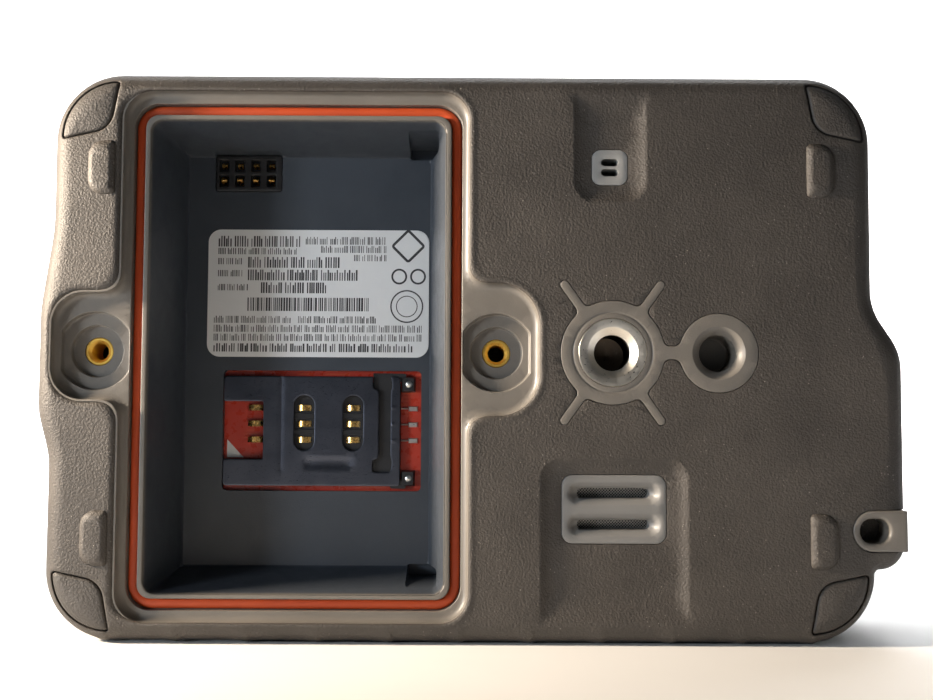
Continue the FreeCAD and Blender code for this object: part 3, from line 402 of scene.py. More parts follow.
def union(*fields, blend=0.0):
    """One shape from several, with the inner corners filled to about that radius."""
    def field(x, z):
        total = fields[0](x, z)
        for other in fields[1:]:
            value = other(x, z)
            if blend:
                share = np.clip(0.5 + 0.5 * (value - total) / blend, 0, 1)
                total = value * (1 - share) + total * share - blend * share * (1 - share)
            else:
                total = np.minimum(total, value)
        return total
    return field


def overlap(*fields):
    return lambda x, z: np.maximum.reduce([f(x, z) for f in fields])


def without(field, *holes):
    """A shape less its holes."""
    return lambda x, z: np.maximum(field(x, z), -np.minimum.reduce([h(x, z) for h in holes]))


def pair(place, apart, shape):
    """The same shape above and below a place; shape makes it from the (x, z) of its middle."""
    return union(*[shape(place[0], place[1] + side * apart) for side in (-1, 1)])


# ---------------------------------------------------------------- relief sheets

WALL = 0.03          # run of a wall that stands almost upright, mm


def edge_drop(depth_in, radius):
    """How far a rounded edge has dropped at that distance in from the edge."""
    short = np.clip(radius - depth_in, 0, radius)
    return radius - np.sqrt(np.maximum(radius ** 2 - short ** 2, 0))


def carve(y, field_values, level, top, foot=0.0):
    """Lowers a surface to a level inside a field, with a rounded top edge and foot."""
    rounded = y + edge_drop(field_values, top)
    sunk = level - (edge_drop(-field_values - WALL, foot) if foot else 0)
    wall = np.clip(-field_values / WALL, 0, 1)
    return np.where(field_values > 0, rounded, (y + top) * (1 - wall) + sunk * wall)


def level_at(y):
    """A level surface, as a height over X and Z."""
    return lambda x, z: np.full(np.shape(x), y)


def step_levels(top, foot=0.0):
    """Where the lines of a rounded step lie, as distances from its wall."""
    rounds = [top * k for k in (0.1, 0.3, 0.6, 1.0)]
    feet = [-WALL - foot * k for k in (0.1, 0.3, 0.6, 1.0)] if foot else []
    return [0.0, -WALL] + rounds + feet


def contour(field, levels, region, step):
    """Points and edges along the lines where a field has the given values."""
    x0, x1, z0, z1 = region
    xs, zs = np.arange(x0, x1 + step, step), np.arange(z0, z1 + step, step)
    grid_x, grid_z = np.meshgrid(xs, zs, indexing="ij")
    values = field(grid_x, grid_z)
    points, edges = [], []
    for level in levels:
        f = values - level
        above = f > 0
        count = above[:-1, :-1].astype(int) + above[1:, :-1] + above[:-1, 1:] + above[1:, 1:]
        spots, here = {}, []

        def crossing(i, j, k, m):
            key = (i, j, k, m)
            if key not in spots:
                share = f[i, j] / (f[i, j] - f[k, m])
                spots[key] = len(here)
                here.append((xs[i] + share * (xs[k] - xs[i]), zs[j] + share * (zs[m] - zs[j])))
            return spots[key]

        pairs = []
        for i, j in zip(*np.nonzero((count > 0) & (count < 4))):
            sides = [(i, j, i + 1, j), (i + 1, j, i + 1, j + 1), (i, j + 1, i + 1, j + 1), (i, j, i, j + 1)]
            hit = [crossing(*s) for s in sides if above[s[0], s[1]] != above[s[2], s[3]]]
            pairs += [hit[k:k + 2] for k in range(0, len(hit), 2)]
        if not here:
            continue
        spot = np.array(here)
        tiny = 1e-3
        for _ in range(4):
            x, z = spot[:, 0], spot[:, 1]
            off = field(x, z) - level
            slope_x = (field(x + tiny, z) - field(x - tiny, z)) / (2 * tiny)
            slope_z = (field(x, z + tiny) - field(x, z - tiny)) / (2 * tiny)
            steep = np.maximum(slope_x ** 2 + slope_z ** 2, 0.2)
            spot = spot - (np.clip(off, -step, step) / steep)[:, None] * np.stack([slope_x, slope_z], 1)
        owner = list(range(len(here)))

        def root(k):
            while owner[k] != k:
                k = owner[k]
            return k

        for a, b in pairs:
            a, b = root(a), root(b)
            if a != b and np.hypot(*(spot[a] - spot[b])) < 0.3 * step:
                owner[b] = a
        base = len(points)
        points += [tuple(p) for p in spot]
        edges += [(base + root(a), base + root(b)) for a, b in pairs if root(a) != root(b)]
    return points, edges


def relief(name, region, lines, inside, height, bottom, look, step, fill):
    """A closed solid whose back face is a height over X and Z.

    lines are (field, levels) that the mesh follows, inside is negative where there is material,
    height and bottom give y for arrays of x and z. All in millimetres.
    """
    points, edges = [], []
    for field, levels in lines:
        more, links = contour(field, levels, region, step)
        base = len(points)
        points += more
        edges += [(a + base, b + base) for a, b in links]
    x0, x1, z0, z1 = region
    spread_x, spread_z = np.meshgrid(np.arange(x0, x1, fill), np.arange(z0, z1, fill), indexing="ij")
    free = inside(spread_x, spread_z) < -0.4
    for field, levels in lines:
        values = field(spread_x, spread_z)
        for level in levels:
            free &= np.abs(values - level) > 0.35 * fill
    points += list(zip(spread_x[free], spread_z[free]))
    vectors = [Vector(p) for p in points]
    flat, _, faces, *_ = delaunay_2d_cdt(vectors, edges, [], 0, 1e-5)
    spots = np.array([tuple(v) for v in flat])
    triangles = np.array(faces)
    centres = spots[triangles].mean(1)
    triangles = triangles[inside(centres[:, 0], centres[:, 1]) < 0]
    used, index = np.unique(triangles, return_inverse=True)
    triangles = index.reshape(-1, 3)
    spots = spots[used]
    x, z = spots[:, 0], spots[:, 1]
    top = np.stack([x, height(x, z), z], 1) * MM
    under = np.stack([x, np.maximum(bottom(x, z), height(x, z) + 0.02), z], 1) * MM
    count = len(spots)
    links = dict.fromkeys(pair for a, b, c in triangles for pair in ((a, b), (b, c), (c, a)))
    rim = [(a, b) for a, b in links if (b, a) not in links]
    all_faces = [tuple(t) for t in triangles]
    all_faces += [(c + count, b + count, a + count) for a, b, c in triangles]
    all_faces += [(b, a, a + count, b + count) for a, b in rim]
    mesh = bpy.data.meshes.new(name)
    places = [tuple(p) for p in np.concatenate([top, under])]
    mesh.from_pydata(places, [], [tuple(map(int, f)) for f in all_faces])
    return finished(name, mesh, look, 40)


def finished(name, mesh, look, crease):
    """Turns a mesh into an object with its material, smooth except at edges past that angle."""
    work = bmesh.new()
    work.from_mesh(mesh)
    bmesh.ops.recalc_face_normals(work, faces=work.faces)
    work.to_mesh(mesh)
    work.free()
    mesh.materials.append(MATERIALS[look])
    for face in mesh.polygons:
        face.use_smooth = True
    mesh.set_sharp_from_angle(angle=math.radians(crease))
    thing = bpy.data.objects.new(name, mesh)
    even = thing.modifiers.new("even shading", "WEIGHTED_NORMAL")
    even.keep_sharp = True
    bpy.context.scene.collection.objects.link(thing)
    return thing


def mounted(piece, node, body="case", replaces=True):
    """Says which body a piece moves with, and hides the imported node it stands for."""
    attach(piece, body)
    if replaces:
        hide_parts(node)


# ---------------------------------------------------------------- the back: places and levels, mm

def box_mm(node):
    low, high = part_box(node)
    return [v / MM for v in low], [v / MM for v in high]


def region_about(place, reach_x, reach_z):
    return place[0] - reach_x, place[0] + reach_x, place[1] - reach_z, place[1] + reach_z


def region_of(node):
    """The area a node covers over X and Z, with a margin of 1 mm."""
    low, high = box_mm(node)
    return low[0] - 1, high[0] + 1, low[2] - 1, high[2] + 1


def middle_of(node):
    low, high = box_mm(node)
    return (low[0] + high[0]) / 2, (low[2] + high[2]) / 2


MOUNTS = {m["name"]: [v / MM for v in m["pos_m"]] for m in frame["record"]["mounts"]}
case_low, case_high = box_mm("rear_overmould")
BODY_X = -1.25                       # middle of the main body
HALF_LENGTH = 60.0
UNDER = 0.3                          # underside, above the ridge tips
TOP = case_high[2]
PAD_PROUD = 0.8
BACK = case_low[1] + PAD_PROUD       # back rubber surface
SPLIT = case_high[1]                 # where the two halves of the case meet
SKIN = 1.2                           # thickness of the rubber
EDGE_ROUND = 3.2                     # rounding of the back's outer edge
LEDGE = BACK + 2.0                   # housing ledge round the bay
CHANNEL = 0.8                        # depth of the two troughs
FIT = 0.06                           # between the rubber and the lands and plates
BUMPER_FIT = 0.14                    # between the rubber and the bumpers
EYE_HALF = 2.95                      # strap eye, half its height

seal_low, seal_high = box_mm("bay_seal")
BAY = middle_of("bay_seal")
SEAL_WIDTH = 1.5
SEAL = (seal_high[0] - seal_low[0] - SEAL_WIDTH, seal_high[2] - seal_low[2] - SEAL_WIDTH)
RIM = (SEAL[0] + 3.8, SEAL[1] + 4.6)         # opening in the rubber
MOUTH = (SEAL[0] - 3.2, SEAL[1] - 3.0)       # mouth of the bay
insert_low, insert_high = box_mm("cover_screw_inserts")
INSERT_R = 2.1                       # radii of the inserts, the rings round them and the dishes
RING_R = 3.8
DISH_R = 5.7
DISH_FLATS = 9.8                     # across the flats of a dish
DISH_FLOOR, RING_FLOOR, GROOVE_FLOOR = LEDGE + 1.1, LEDGE + 2.1, LEDGE + 1.5
TRIPOD_LAND, TRIPOD_BORE = 7.5, 5.0  # radii
PIN_LAND, PIN_BORE = 5.7, 3.86
CRISP = 0.12                         # rounding of the edges of lands and plates
BODY_MIDDLE = (BODY_X, (UNDER + TOP) / 2)
EARS = [(insert_low[0] + INSERT_R, middle_of("cover_screw_inserts")[1]),
        (insert_high[0] - INSERT_R, middle_of("cover_screw_inserts")[1])]
TRIPOD = middle_of("tripod_insert")
PIN = (MOUNTS["locating_pin_hole"][0], MOUNTS["locating_pin_hole"][2])
VENT = middle_of("vent_membrane")
SPEAKER = middle_of("speaker_mesh")
EYE = (MOUNTS["strap_eye"][0], MOUNTS["strap_eye"][2])


def device_outline():
    """The straight case with the hinge boss on the right and the grip swell on the left."""
    left, right = BODY_X - HALF_LENGTH, BODY_X + HALF_LENGTH
    hinge, grip = right + 4.4, left - 1.8
    return outline_field(rounded_outline([
        (left, UNDER, 10), (right, UNDER, 10), (right, 10.7, 0.4), (hinge, 10.9, 3.6), (hinge, 42.3, 8),
        (right, 48.7, 8), (right, TOP, 10), (left, TOP, 10), (left, 60, 25), (grip, 48, 25),
        (grip, 33, 12), (left, 26.5, 12)], spacing=0.8))


plain_outline = device_outline()
RIDGE_PITCH = 10.15


def case_field(x, z):
    """Outline of the case, with the sawtooth grip ridges along its underside."""
    height = UNDER - 0.02
    phase = np.mod((x - BODY_X) / RIDGE_PITCH + 0.5, 1.0)
    tooth = np.clip((phase - 0.3) / 0.2, 0, 1) * np.clip((0.56 - phase) / 0.06, 0, 1)
    near = np.clip((6 - z) / 4, 0, 1) * (np.abs(x - BODY_X) < 56)
    return plain_outline(x, z) - height * tooth * near


def crown(x):
    """How far the back falls away towards the short ends."""
    left = np.clip((BAY[0] - RIM[0] / 2 - x) / 12, 0, 1.2)
    right = np.clip((x - (BODY_X + 50)) / 11, 0, 1.2)
    return 0.55 * left ** 1.3 + 0.35 * right ** 2


edge = BAY[0] - RIM[0] / 2
bay_rim = centred_field(*BAY, *RIM, 4.2)
left_ear = box_field(edge - 9.9, edge + 4, 34.8, 50.3, 4.6)
right_ear = box_field(edge + RIM[0] - 4, edge + RIM[0] + 10.2, 32.7, 51.9, 6.0)
bay_opening = union(bay_rim, left_ear, right_ear, blend=3.2)


def lands():
    """The raised rings of the tripod socket and the pin hole, with the four arms and the neck."""
    reach, lean = 12.0, math.radians(54.7)
    arm, neck = 1.25, 1.9
    shapes = [disc_field(*TRIPOD, TRIPOD_LAND)]
    for sx in (-1, 1):
        for sz in (-1, 1):
            tip = (TRIPOD[0] + sx * reach * math.cos(lean), TRIPOD[1] + sz * reach * math.sin(lean))
            shapes.append(bar_field(*TRIPOD, *tip, arm))
    shapes += [disc_field(*PIN, PIN_LAND), bar_field(*TRIPOD, *PIN, neck)]
    return union(*shapes, blend=0.9)


LAND = lands()


vent_plate = centred_field(*VENT, 5.2, 5.2, 1.3)
speaker_plate = centred_field(*SPEAKER, 15.0, 9.8, 1.5)
plates = union(vent_plate, speaker_plate)
upper_channel = box_field(VENT[0] - 5.6, VENT[0] + 5.6, VENT[1] - 5.5, TOP + 9, 3.4)
lower_channel = box_field(SPEAKER[0] - 10.9, SPEAKER[0] + 10.9, -9, SPEAKER[1] + 7.5, 3.2)


def channel_depth(x, z):
    """Both troughs: leaning walls, and a floor that rises to the surface at the outer end."""
    slope, run = 0.42, 1.9
    upper = np.minimum(np.clip(-upper_channel(x, z), 0, 9), (TOP - 2.2 - z) * slope)
    lower = np.minimum(np.clip(-lower_channel(x, z), 0, 9), (z - 2.6) * slope)
    share = np.clip(np.maximum(np.maximum(upper, lower), 0) / run, 0, 1)
    return CHANNEL * share * share * (3 - 2 * share)


def pad_field(x, z, side):
    """A grip pad: nearly square on its inner side, well rounded towards the end of the case."""
    near = centred_field(x, z, 4.0, 7.9, 0.7)
    far = centred_field(x - 3.0 * side, z, 10.0, 7.9, 2.2)
    return overlap(near, far)


pads = union(*[pad_field(BODY_X + x, z, side) for x, side in ((-52.4, -1), (52.0, 1)) for z in (15.0, 68.5)])
eye_mouth = EYE_HALF + FIT
eye_pocket = box_field(EYE[0] - 3.0 - FIT, EYE[0] + 12, EYE[1] - eye_mouth, EYE[1] + eye_mouth, 2.96)
CORNERS = {"top_left": (-1, 1), "top_right": (1, 1), "bottom_left": (-1, -1), "bottom_right": (1, -1)}


def bumper_field(sx, sz):
    """A leaf in one corner: two straight legs along the edges and a full curve inside."""
    tall, inset, leg = (TOP - UNDER) / 2, 1.6, 9.9
    spots = [(HALF_LENGTH - inset, tall - leg, 0.4), (HALF_LENGTH - inset, tall - inset, 8.0),
             (HALF_LENGTH - leg, tall - inset, 0.4), (HALF_LENGTH - 8.6, tall - 8.5, 3.2)]
    spots = [(BODY_MIDDLE[0] + sx * u, BODY_MIDDLE[1] + sz * v, radius) for u, v, radius in spots]
    if sx * sz < 0:
        spots.reverse()
    return outline_field(rounded_outline(spots, 0.3))


BUMPERS = {name: bumper_field(*signs) for name, signs in CORNERS.items()}
bumper_gaps = union(*BUMPERS.values())


def skin_height(x, z):
    """The rubber's back surface without its openings."""
    depth_in = -case_field(x, z)
    y = BACK + crown(x) + channel_depth(x, z) + edge_drop(depth_in, EDGE_ROUND)
    pad = pads(x, z)
    soft = np.clip(-pad / 1.1, 0, 1)
    return y - PAD_PROUD * (0.5 * soft + 0.5 * np.sqrt(1 - (1 - soft) ** 2))


def rubber_height(x, z):
    """The same with its openings. The edge round the bay rolls over widely on the left only."""
    y = skin_height(x, z)
    opening = bay_opening(x, z)
    rolled = np.clip((edge + 3 - x) / 3, 0, 1)
    y = y - 0.1 * (1 - rolled) * np.exp(-((opening - 0.45) / 0.3) ** 2)
    y = y + edge_drop(opening, 0.3) + rolled * edge_drop(opening, 1.2)
    y = y + edge_drop(LAND(x, z) - FIT, CRISP)
    y = y + edge_drop(plates(x, z) - FIT, CRISP)
    y = y + edge_drop(bumper_gaps(x, z) - BUMPER_FIT, 0.3)
    return carve(y, eye_pocket(x, z), BACK + 5.0, CRISP)


def rubber_inside(x, z):
    """Where there is rubber: the case less the openings in it."""
    holes = [bay_opening(x, z), LAND(x, z) - FIT, bumper_gaps(x, z) - BUMPER_FIT, plates(x, z) - FIT]
    return np.maximum(case_field(x, z), -np.minimum.reduce(holes))


def rubber_bottom(x, z):
    """The skin's under side; at the rim it reaches down to the joint of the two halves."""
    depth_in = -case_field(x, z)
    return np.where(depth_in < SKIN + 0.02, SPLIT, rubber_height(x, z) + SKIN)


def rubber_back():
    """The rubber skin of the back half, down to the joint with the front half."""
    region = (case_low[0] - 1, EYE[0] + 6, -0.5, TOP + 0.6)
    rounds = [0.0, 0.06, 0.24, 0.6, SKIN, SKIN + 0.05, 1.6, 2.3, EDGE_ROUND]
    lines = [
        (case_field, [-v for v in rounds]),
        (bay_opening, [0.0, 0.04, 0.12, 0.3, 0.6, 0.9, 1.2, 1.6]),
        (LAND, [FIT, 0.1, 0.18]),
        (plates, [FIT, 0.1, 0.18]),
        (bumper_gaps, [BUMPER_FIT, 0.2, 0.3, 0.44]),
        (pads, [0.0, -0.04, -0.15, -0.35, -0.6, -0.9]),
        (lambda x, z: -channel_depth(x, z), [-0.02, -0.15, -0.45, -0.8, -1.1, -1.45, -1.75, -1.88]),
        (eye_pocket, step_levels(CRISP)),
    ]
    piece = relief("rubber_back", region, lines, rubber_inside, rubber_height, rubber_bottom, "rubber",
                   step=0.45, fill=1.5)
    mounted(piece, "rear_overmould")


def bumpers():
    """The four corner inserts: they follow the rubber's surface and dome a little above it."""
    for name, field in BUMPERS.items():
        def height(x, z, field=field):
            depth_in = -field(x, z)
            dome = 0.25 * np.clip(depth_in / 2.5, 0, 1)
            return skin_height(x, z) + 0.12 - dome + edge_drop(depth_in, 0.4)
        region = region_of("corner_bumper_" + name)
        lines = [(field, [-v for v in (0.0, 0.06, 0.18, 0.4, 0.9, 1.6, 2.5)]),
                 (case_field, [-v for v in (1.2, 1.6, 2.3, EDGE_ROUND)])]
        piece = relief("bumper_" + name, region, lines, field, height,
                       level_at(BACK + 2.4), "bumper", step=0.3, fill=1.0)
        mounted(piece, "corner_bumper_" + name)


# ---------------------------------------------------------------- housing

DRAFT = math.tan(math.radians(10))
FLOOR = box_mm("rating_label")[1][1]
mouth = centred_field(*BAY, *MOUTH, 1.8)
seal_band = centred_field(*BAY, *SEAL, 2.8)
connector_low, connector_high = box_mm("battery_connector")
connector_window = box_field(connector_low[0] - 0.1, connector_high[0] + 0.1,
                             connector_low[2] - 0.1, connector_high[2] + 0.1, 0.4)
board_low, board_high = box_mm("sim_board")
sim_window = box_field(board_low[0] + 0.7, board_high[0] - 0.7, board_low[2] + 0.7, board_high[2] - 0.7, 0.7)
windows = union(connector_window, sim_window)
dishes = union(*[overlap(disc_field(*ear, DISH_R), centred_field(*ear, DISH_FLATS, 4 * DISH_R))
                 for ear in EARS])
rings = union(*[disc_field(*ear, RING_R) for ear in EARS])
insert_holes = union(*[disc_field(*ear, INSERT_R) for ear in EARS])
latch_slots = pair((BAY[0] + 18.2, BAY[1]), MOUTH[1] / 2 - 1.75,
                   lambda x, z: centred_field(x, z, 4.6, 2.3, 0.3))


def seal_groove(x, z):
    """The ring the seal lies in."""
    return np.abs(seal_band(x, z)) - 0.82


def housing_height(x, z):
    """Ledge, ear dishes, seal groove, and the bay's leaning walls with their cove at the floor."""
    opening = bay_opening(x, z)
    y = carve(np.full(np.shape(x), BACK + 0.35), opening, LEDGE, 0.1, 1.0)
    y = carve(y, dishes(x, z), DISH_FLOOR, 0.16, 0.3)
    y = np.where(dishes(x, z) < -WALL, carve(y, rings(x, z), RING_FLOOR, 0.16, 0.2), y)
    y = carve(y, seal_groove(x, z), GROOVE_FLOOR, CRISP)
    inner = mouth(x, z)
    wall = LEDGE + np.clip(-inner, 0, 99) / DRAFT
    cove = 1.3
    blend = np.clip(0.5 + 0.5 * (FLOOR - wall) / cove, 0, 1)
    wall = FLOOR * (1 - blend) + wall * blend - cove * blend * (1 - blend)
    inside_height = np.where(inner < -0.02, np.maximum(wall, LEDGE + 0.25), y)
    y = np.where(inner > 0, y + edge_drop(inner, 0.22), inside_height)
    return np.where((inner < -0.9) & (latch_slots(x, z) < -0.02), FLOOR + 1.2, y)


def housing_inside(x, z):
    """Where there is housing: the opening in the rubber less the windows in the floor."""
    ground = bay_opening(x, z) - 0.3
    return np.maximum(ground, -np.minimum(windows(x, z), insert_holes(x, z)))


def housing_back():
    """The moulded tray: the ears, the ledge with the seal's groove, and the bay."""
    region = (edge - 13, edge + RIM[0] + 13, BAY[1] - RIM[1] / 2 - 3, BAY[1] + RIM[1] / 2 + 3)
    wall_lines = [-v * DRAFT for v in (3, 6, 9, 11, 12.2, 13, 13.6, 14.2, 15)]
    lines = [
        (bay_opening, step_levels(0.1, 1.0) + [0.3]),
        (dishes, step_levels(0.16, 0.3)),
        (rings, step_levels(0.16, 0.2)),
        (insert_holes, [0.0]),
        (seal_groove, step_levels(CRISP)),
        (mouth, [0.0, -0.02, 0.02, 0.07, 0.14, 0.22] + wall_lines),
        (windows, [0.0]),
        (latch_slots, [0.0, -0.04]),
    ]
    piece = relief("housing_back", region, lines, housing_inside, housing_height,
                   level_at(FLOOR + 1.3), "housing", step=0.4, fill=2.0)
    mounted(piece, "rear_housing")


def slot_pair(place, apart, reach, width):
    return pair(place, apart, lambda x, z: bar_field(x - reach, z, x + reach, z, width))


def lands_and_plates():
    """The plates of the housing that show through the rubber, with their bores and slots."""
    pin_circle = disc_field(*PIN, 0.0)
    tripod_circle = disc_field(*TRIPOD, 0.0)
    land = without(LAND, disc_field(*TRIPOD, TRIPOD_BORE), disc_field(*PIN, PIN_BORE))

    def land_height(x, z):
        scored = 0.12 * np.exp(-((tripod_circle(x, z) - 5.75) / 0.14) ** 2)
        return BACK + edge_drop(-LAND(x, z), CRISP) + scored

    region = (TRIPOD[0] - 14, PIN[0] + 8, TRIPOD[1] - 13, TRIPOD[1] + 13)
    lines = [(LAND, [0.0, -0.02, -0.06, -CRISP]), (tripod_circle, [TRIPOD_BORE, 5.45, 5.6, 5.75, 5.9, 6.05]),
             (pin_circle, [PIN_BORE, 4.1])]
    piece = relief("mount_lands", region, lines, land, land_height,
                   level_at(BACK + 8.0), "plate", step=0.3, fill=1.2)
    mounted(piece, "rear_housing", replaces=False)

    turned = [(3.87, 0), (3.8, 0.02), (2.72, 1.25), (2.65, 1.4), (2.65, 6.8), (2.4, 7.0), (0.01, 7.0),
              (0.01, 7.6), (4.0, 7.6), (4.0, 0.3)]
    piece = lathe("pin_bore", PIN, [(radius, BACK + deep) for radius, deep in turned], "plate", 96)
    mounted(piece, "rear_housing", replaces=False)

    slots = slot_pair(VENT, 0.75, 0.72, 1.04)

    def vent_height(x, z):
        return BACK + CHANNEL + edge_drop(-vent_plate(x, z), CRISP) + edge_drop(slots(x, z), 0.1)

    lines = [(vent_plate, [0.0, -0.03, -CRISP]), (slots, [0.0, 0.03, 0.1])]
    piece = relief("vent_plate", region_about(VENT, 4, 4), lines, without(vent_plate, slots), vent_height,
                   level_at(BACK + 4.1), "vent", step=0.2, fill=0.8)
    mounted(piece, "rear_housing", replaces=False)

    dished = slot_pair(SPEAKER, 2.25, 5.1, 3.3)
    through = slot_pair(SPEAKER, 2.25, 4.55, 1.4)

    def speaker_height(x, z):
        sunk = np.clip(-dished(x, z) / 0.95, 0, 1)
        bowl = 1.15 * (1 - np.sqrt(1 - sunk ** 2))
        return BACK + CHANNEL + edge_drop(-speaker_plate(x, z), CRISP) + 0.55 * sunk + 0.45 * bowl

    lines = [(speaker_plate, [0.0, -0.03, -CRISP]), (through, [0.0]),
             (dished, [0.0, -0.12, -0.3, -0.5, -0.7, -0.85])]
    piece = relief("speaker_plate", region_about(SPEAKER, 9, 6), lines, without(speaker_plate, through),
                   speaker_height, level_at(BACK + 4.1), "grille", step=0.25, fill=0.9)
    mounted(piece, "rear_housing", replaces=False)


def strap_tab():
    """The lug for a lanyard: round at its inner end, flush with the side of the hinge boss."""
    side = BODY_X + HALF_LENGTH + 4.0
    body = overlap(box_field(EYE[0] - 3.0, side + 6, EYE[1] - EYE_HALF, EYE[1] + EYE_HALF, 2.9),
                   lambda x, z: x - side)
    hole = box_field(EYE[0] - 1.9, EYE[0] + 2.3, EYE[1] - 1.75, EYE[1] + 1.75, 1.6)

    def height(x, z):
        return BACK + 0.1 + edge_drop(-body(x, z), 0.3) + edge_drop(hole(x, z), 0.5)

    levels = [0.0, 0.05, 0.15, 0.3, 0.5]
    lines = [(body, [-v for v in levels]), (hole, levels)]
    piece = relief("strap_tab", region_about(EYE, 6, 5), lines, without(body, hole), height,
                   level_at(BACK + 4.9), "plate", step=0.25, fill=0.8)
    mounted(piece, "rear_housing", replaces=False)


# ---------------------------------------------------------------- turned, swept and bent pieces

def solid_mesh(name, places, faces, look):
    mesh = bpy.data.meshes.new(name)
    mesh.from_pydata([tuple(v * MM for v in p) for p in places], [], faces)
    return finished(name, mesh, look, 35)


def tube_faces(rings, around, closed):
    """Quads between neighbouring rings of points; a closed tube joins its last ring to its first."""
    faces = []
    for k in range(rings if closed else rings - 1):
        ahead = (k + 1) % rings
        for m in range(around):
            beyond = (m + 1) % around
            faces.append((k * around + m, k * around + beyond, ahead * around + beyond, ahead * around + m))
    return faces


def lathe(name, place, profile, look, sides=72, thread=None):
    """A ring turned about an axis along Y. The profile holds (radius, y) pairs and closes on itself.

    thread is (first y, last y, pitch, depth): between them the wall carries a helical groove.
    """
    places = []
    for k in range(sides):
        turn = 2 * math.pi * k / sides
        for radius, y in profile:
            if thread and thread[0] <= y <= thread[1]:
                phase = (y / thread[2] - k / sides) % 1.0
                radius += thread[3] * abs(2 * phase - 1)
            places.append((place[0] + radius * math.cos(turn), y, place[1] + radius * math.sin(turn)))
    return solid_mesh(name, places, tube_faces(sides, len(profile), True), look)


def threaded_wall(radius, top, foot, pitch):
    """Points down a threaded wall, close enough together to carry the thread."""
    steps = round((foot - top) / (pitch / 6))
    return [(radius, top + (foot - top) * k / steps) for k in range(steps + 1)]


def sweep(name, path, section, look):
    """A section of (across, y) points carried round a closed outline over X and Z."""
    along = np.roll(path, -1, axis=0) - np.roll(path, 1, axis=0)
    along /= np.hypot(along[:, 0], along[:, 1])[:, None]
    places = []
    for (x, z), (ax, az) in zip(path, along):
        places += [(x + across * az, y, z - across * ax) for across, y in section]
    return solid_mesh(name, places, tube_faces(len(path), len(section), True), look)


def strip(centre_line, width, thick, x):
    """Places and faces of a bent leaf of sheet metal, whose middle runs through (y, z) points at one x."""
    line = np.array(centre_line, float)
    along = np.gradient(line, axis=0)
    along /= np.hypot(along[:, 0], along[:, 1])[:, None]
    across = np.stack([-along[:, 1], along[:, 0]], 1) * thick / 2
    places, faces = [], []
    for spot, offset in zip(line, across):
        for side in (-1, 1):
            for face in (-1, 1):
                y, z = spot + face * offset
                places.append((x + side * width / 2, y, z))
    for k in range(len(line) - 1):
        a, b = 4 * k, 4 * k + 4
        for p, q in ((0, 1), (1, 3), (3, 2), (2, 0)):
            faces.append((a + p, a + q, b + q, b + p))
    last = 4 * (len(line) - 1)
    faces += [(0, 2, 3, 1), (last, last + 1, last + 3, last + 2)]
    return places, faces


def blocks(name, boxes, look, taper=0.0):
    """Small raised marks: (x0, x1, z0, z1, y of the face, depth) in one mesh."""
    places, faces = [], []
    for x0, x1, z0, z1, y, depth in boxes:
        base = len(places)
        places += [(x0 + taper, y, z0 + taper), (x1 - taper, y, z0 + taper),
                   (x1 - taper, y, z1 - taper), (x0 + taper, y, z1 - taper),
                   (x0, y + depth, z0), (x1, y + depth, z0), (x1, y + depth, z1), (x0, y + depth, z1)]
        faces += [tuple(base + v for v in f) for f in
                  ((0, 1, 2, 3), (7, 6, 5, 4), (0, 4, 5, 1), (1, 5, 6, 2), (2, 6, 7, 3), (3, 7, 4, 0))]
    return solid_mesh(name, places, faces, look)


def join_meshes(parts):
    """One list of places and one of faces from several (places, faces) pairs."""
    places, faces = [], []
    for more, polygons in parts:
        base = len(places)
        places += more
        faces += [tuple(v + base for v in f) for f in polygons]
    return places, faces


def bay_seal():
    """A ring of silicone with a round crest, standing in the groove round the bay."""
    corners = ((-1, -1), (1, -1), (1, 1), (-1, 1))
    half_x, half_z = SEAL[0] / 2, SEAL[1] / 2
    path = rounded_outline([(BAY[0] + sx * half_x, BAY[1] + sz * half_z, 2.8) for sx, sz in corners], 0.25)
    crest, half, round_high = LEDGE + 0.95, 0.72, 0.42
    section = [(half * math.cos(a), crest + round_high - round_high * math.sin(a))
               for a in np.linspace(0, math.pi, 9)]
    section += [(-half, LEDGE + 1.45), (half, LEDGE + 1.45)]
    mounted(sweep("bay_seal_ring", path, section, "seal"), "bay_seal")


def inserts():
    """The two brass inserts in the ears and the steel bush of the tripod socket, all threaded."""
    face, foot, bore, pitch = insert_low[1], insert_high[1], 1.25, 0.5
    profile = [(INSERT_R, face + 0.15), (INSERT_R - 0.15, face),
               (bore + 0.42, face), (bore + 0.05, face + 0.4)]
    profile += threaded_wall(bore, face + 0.45, foot - 0.1, pitch)
    profile += [(bore, foot), (INSERT_R - 0.15, foot), (INSERT_R, foot - 0.15)]
    for index, place in enumerate(EARS):
        thread = (face + 0.5, foot - 0.2, pitch, 0.14)
        mounted(lathe(f"cover_insert_{index}", place, profile, "brass", 64, thread), "cover_screw_inserts")
    low, high = box_mm("tripod_insert")
    face, foot, outer, pitch = low[1], high[1], 4.98, 1.27
    profile = [(outer, face + 0.12), (outer - 0.12, face),
               (3.72, face), (3.6, face + 0.05), (2.72, face + 1.15)]
    profile += threaded_wall(2.62, face + 1.2, foot - 1.0, pitch)
    profile += [(2.6, foot - 0.9), (0.01, foot - 0.4), (0.01, foot), (outer, foot)]
    thread = (face + 1.3, foot - 1.1, pitch, 0.5)
    mounted(lathe("tripod_bush", TRIPOD, profile, "steel", 96, thread), "tripod_insert")


def label_place(px, py):
    """A place on the label from its share of the width and of the height, from the top left."""
    low, high = box_mm("rating_label")
    return low[0] + px * (high[0] - low[0]), high[2] - py * (high[2] - low[2])


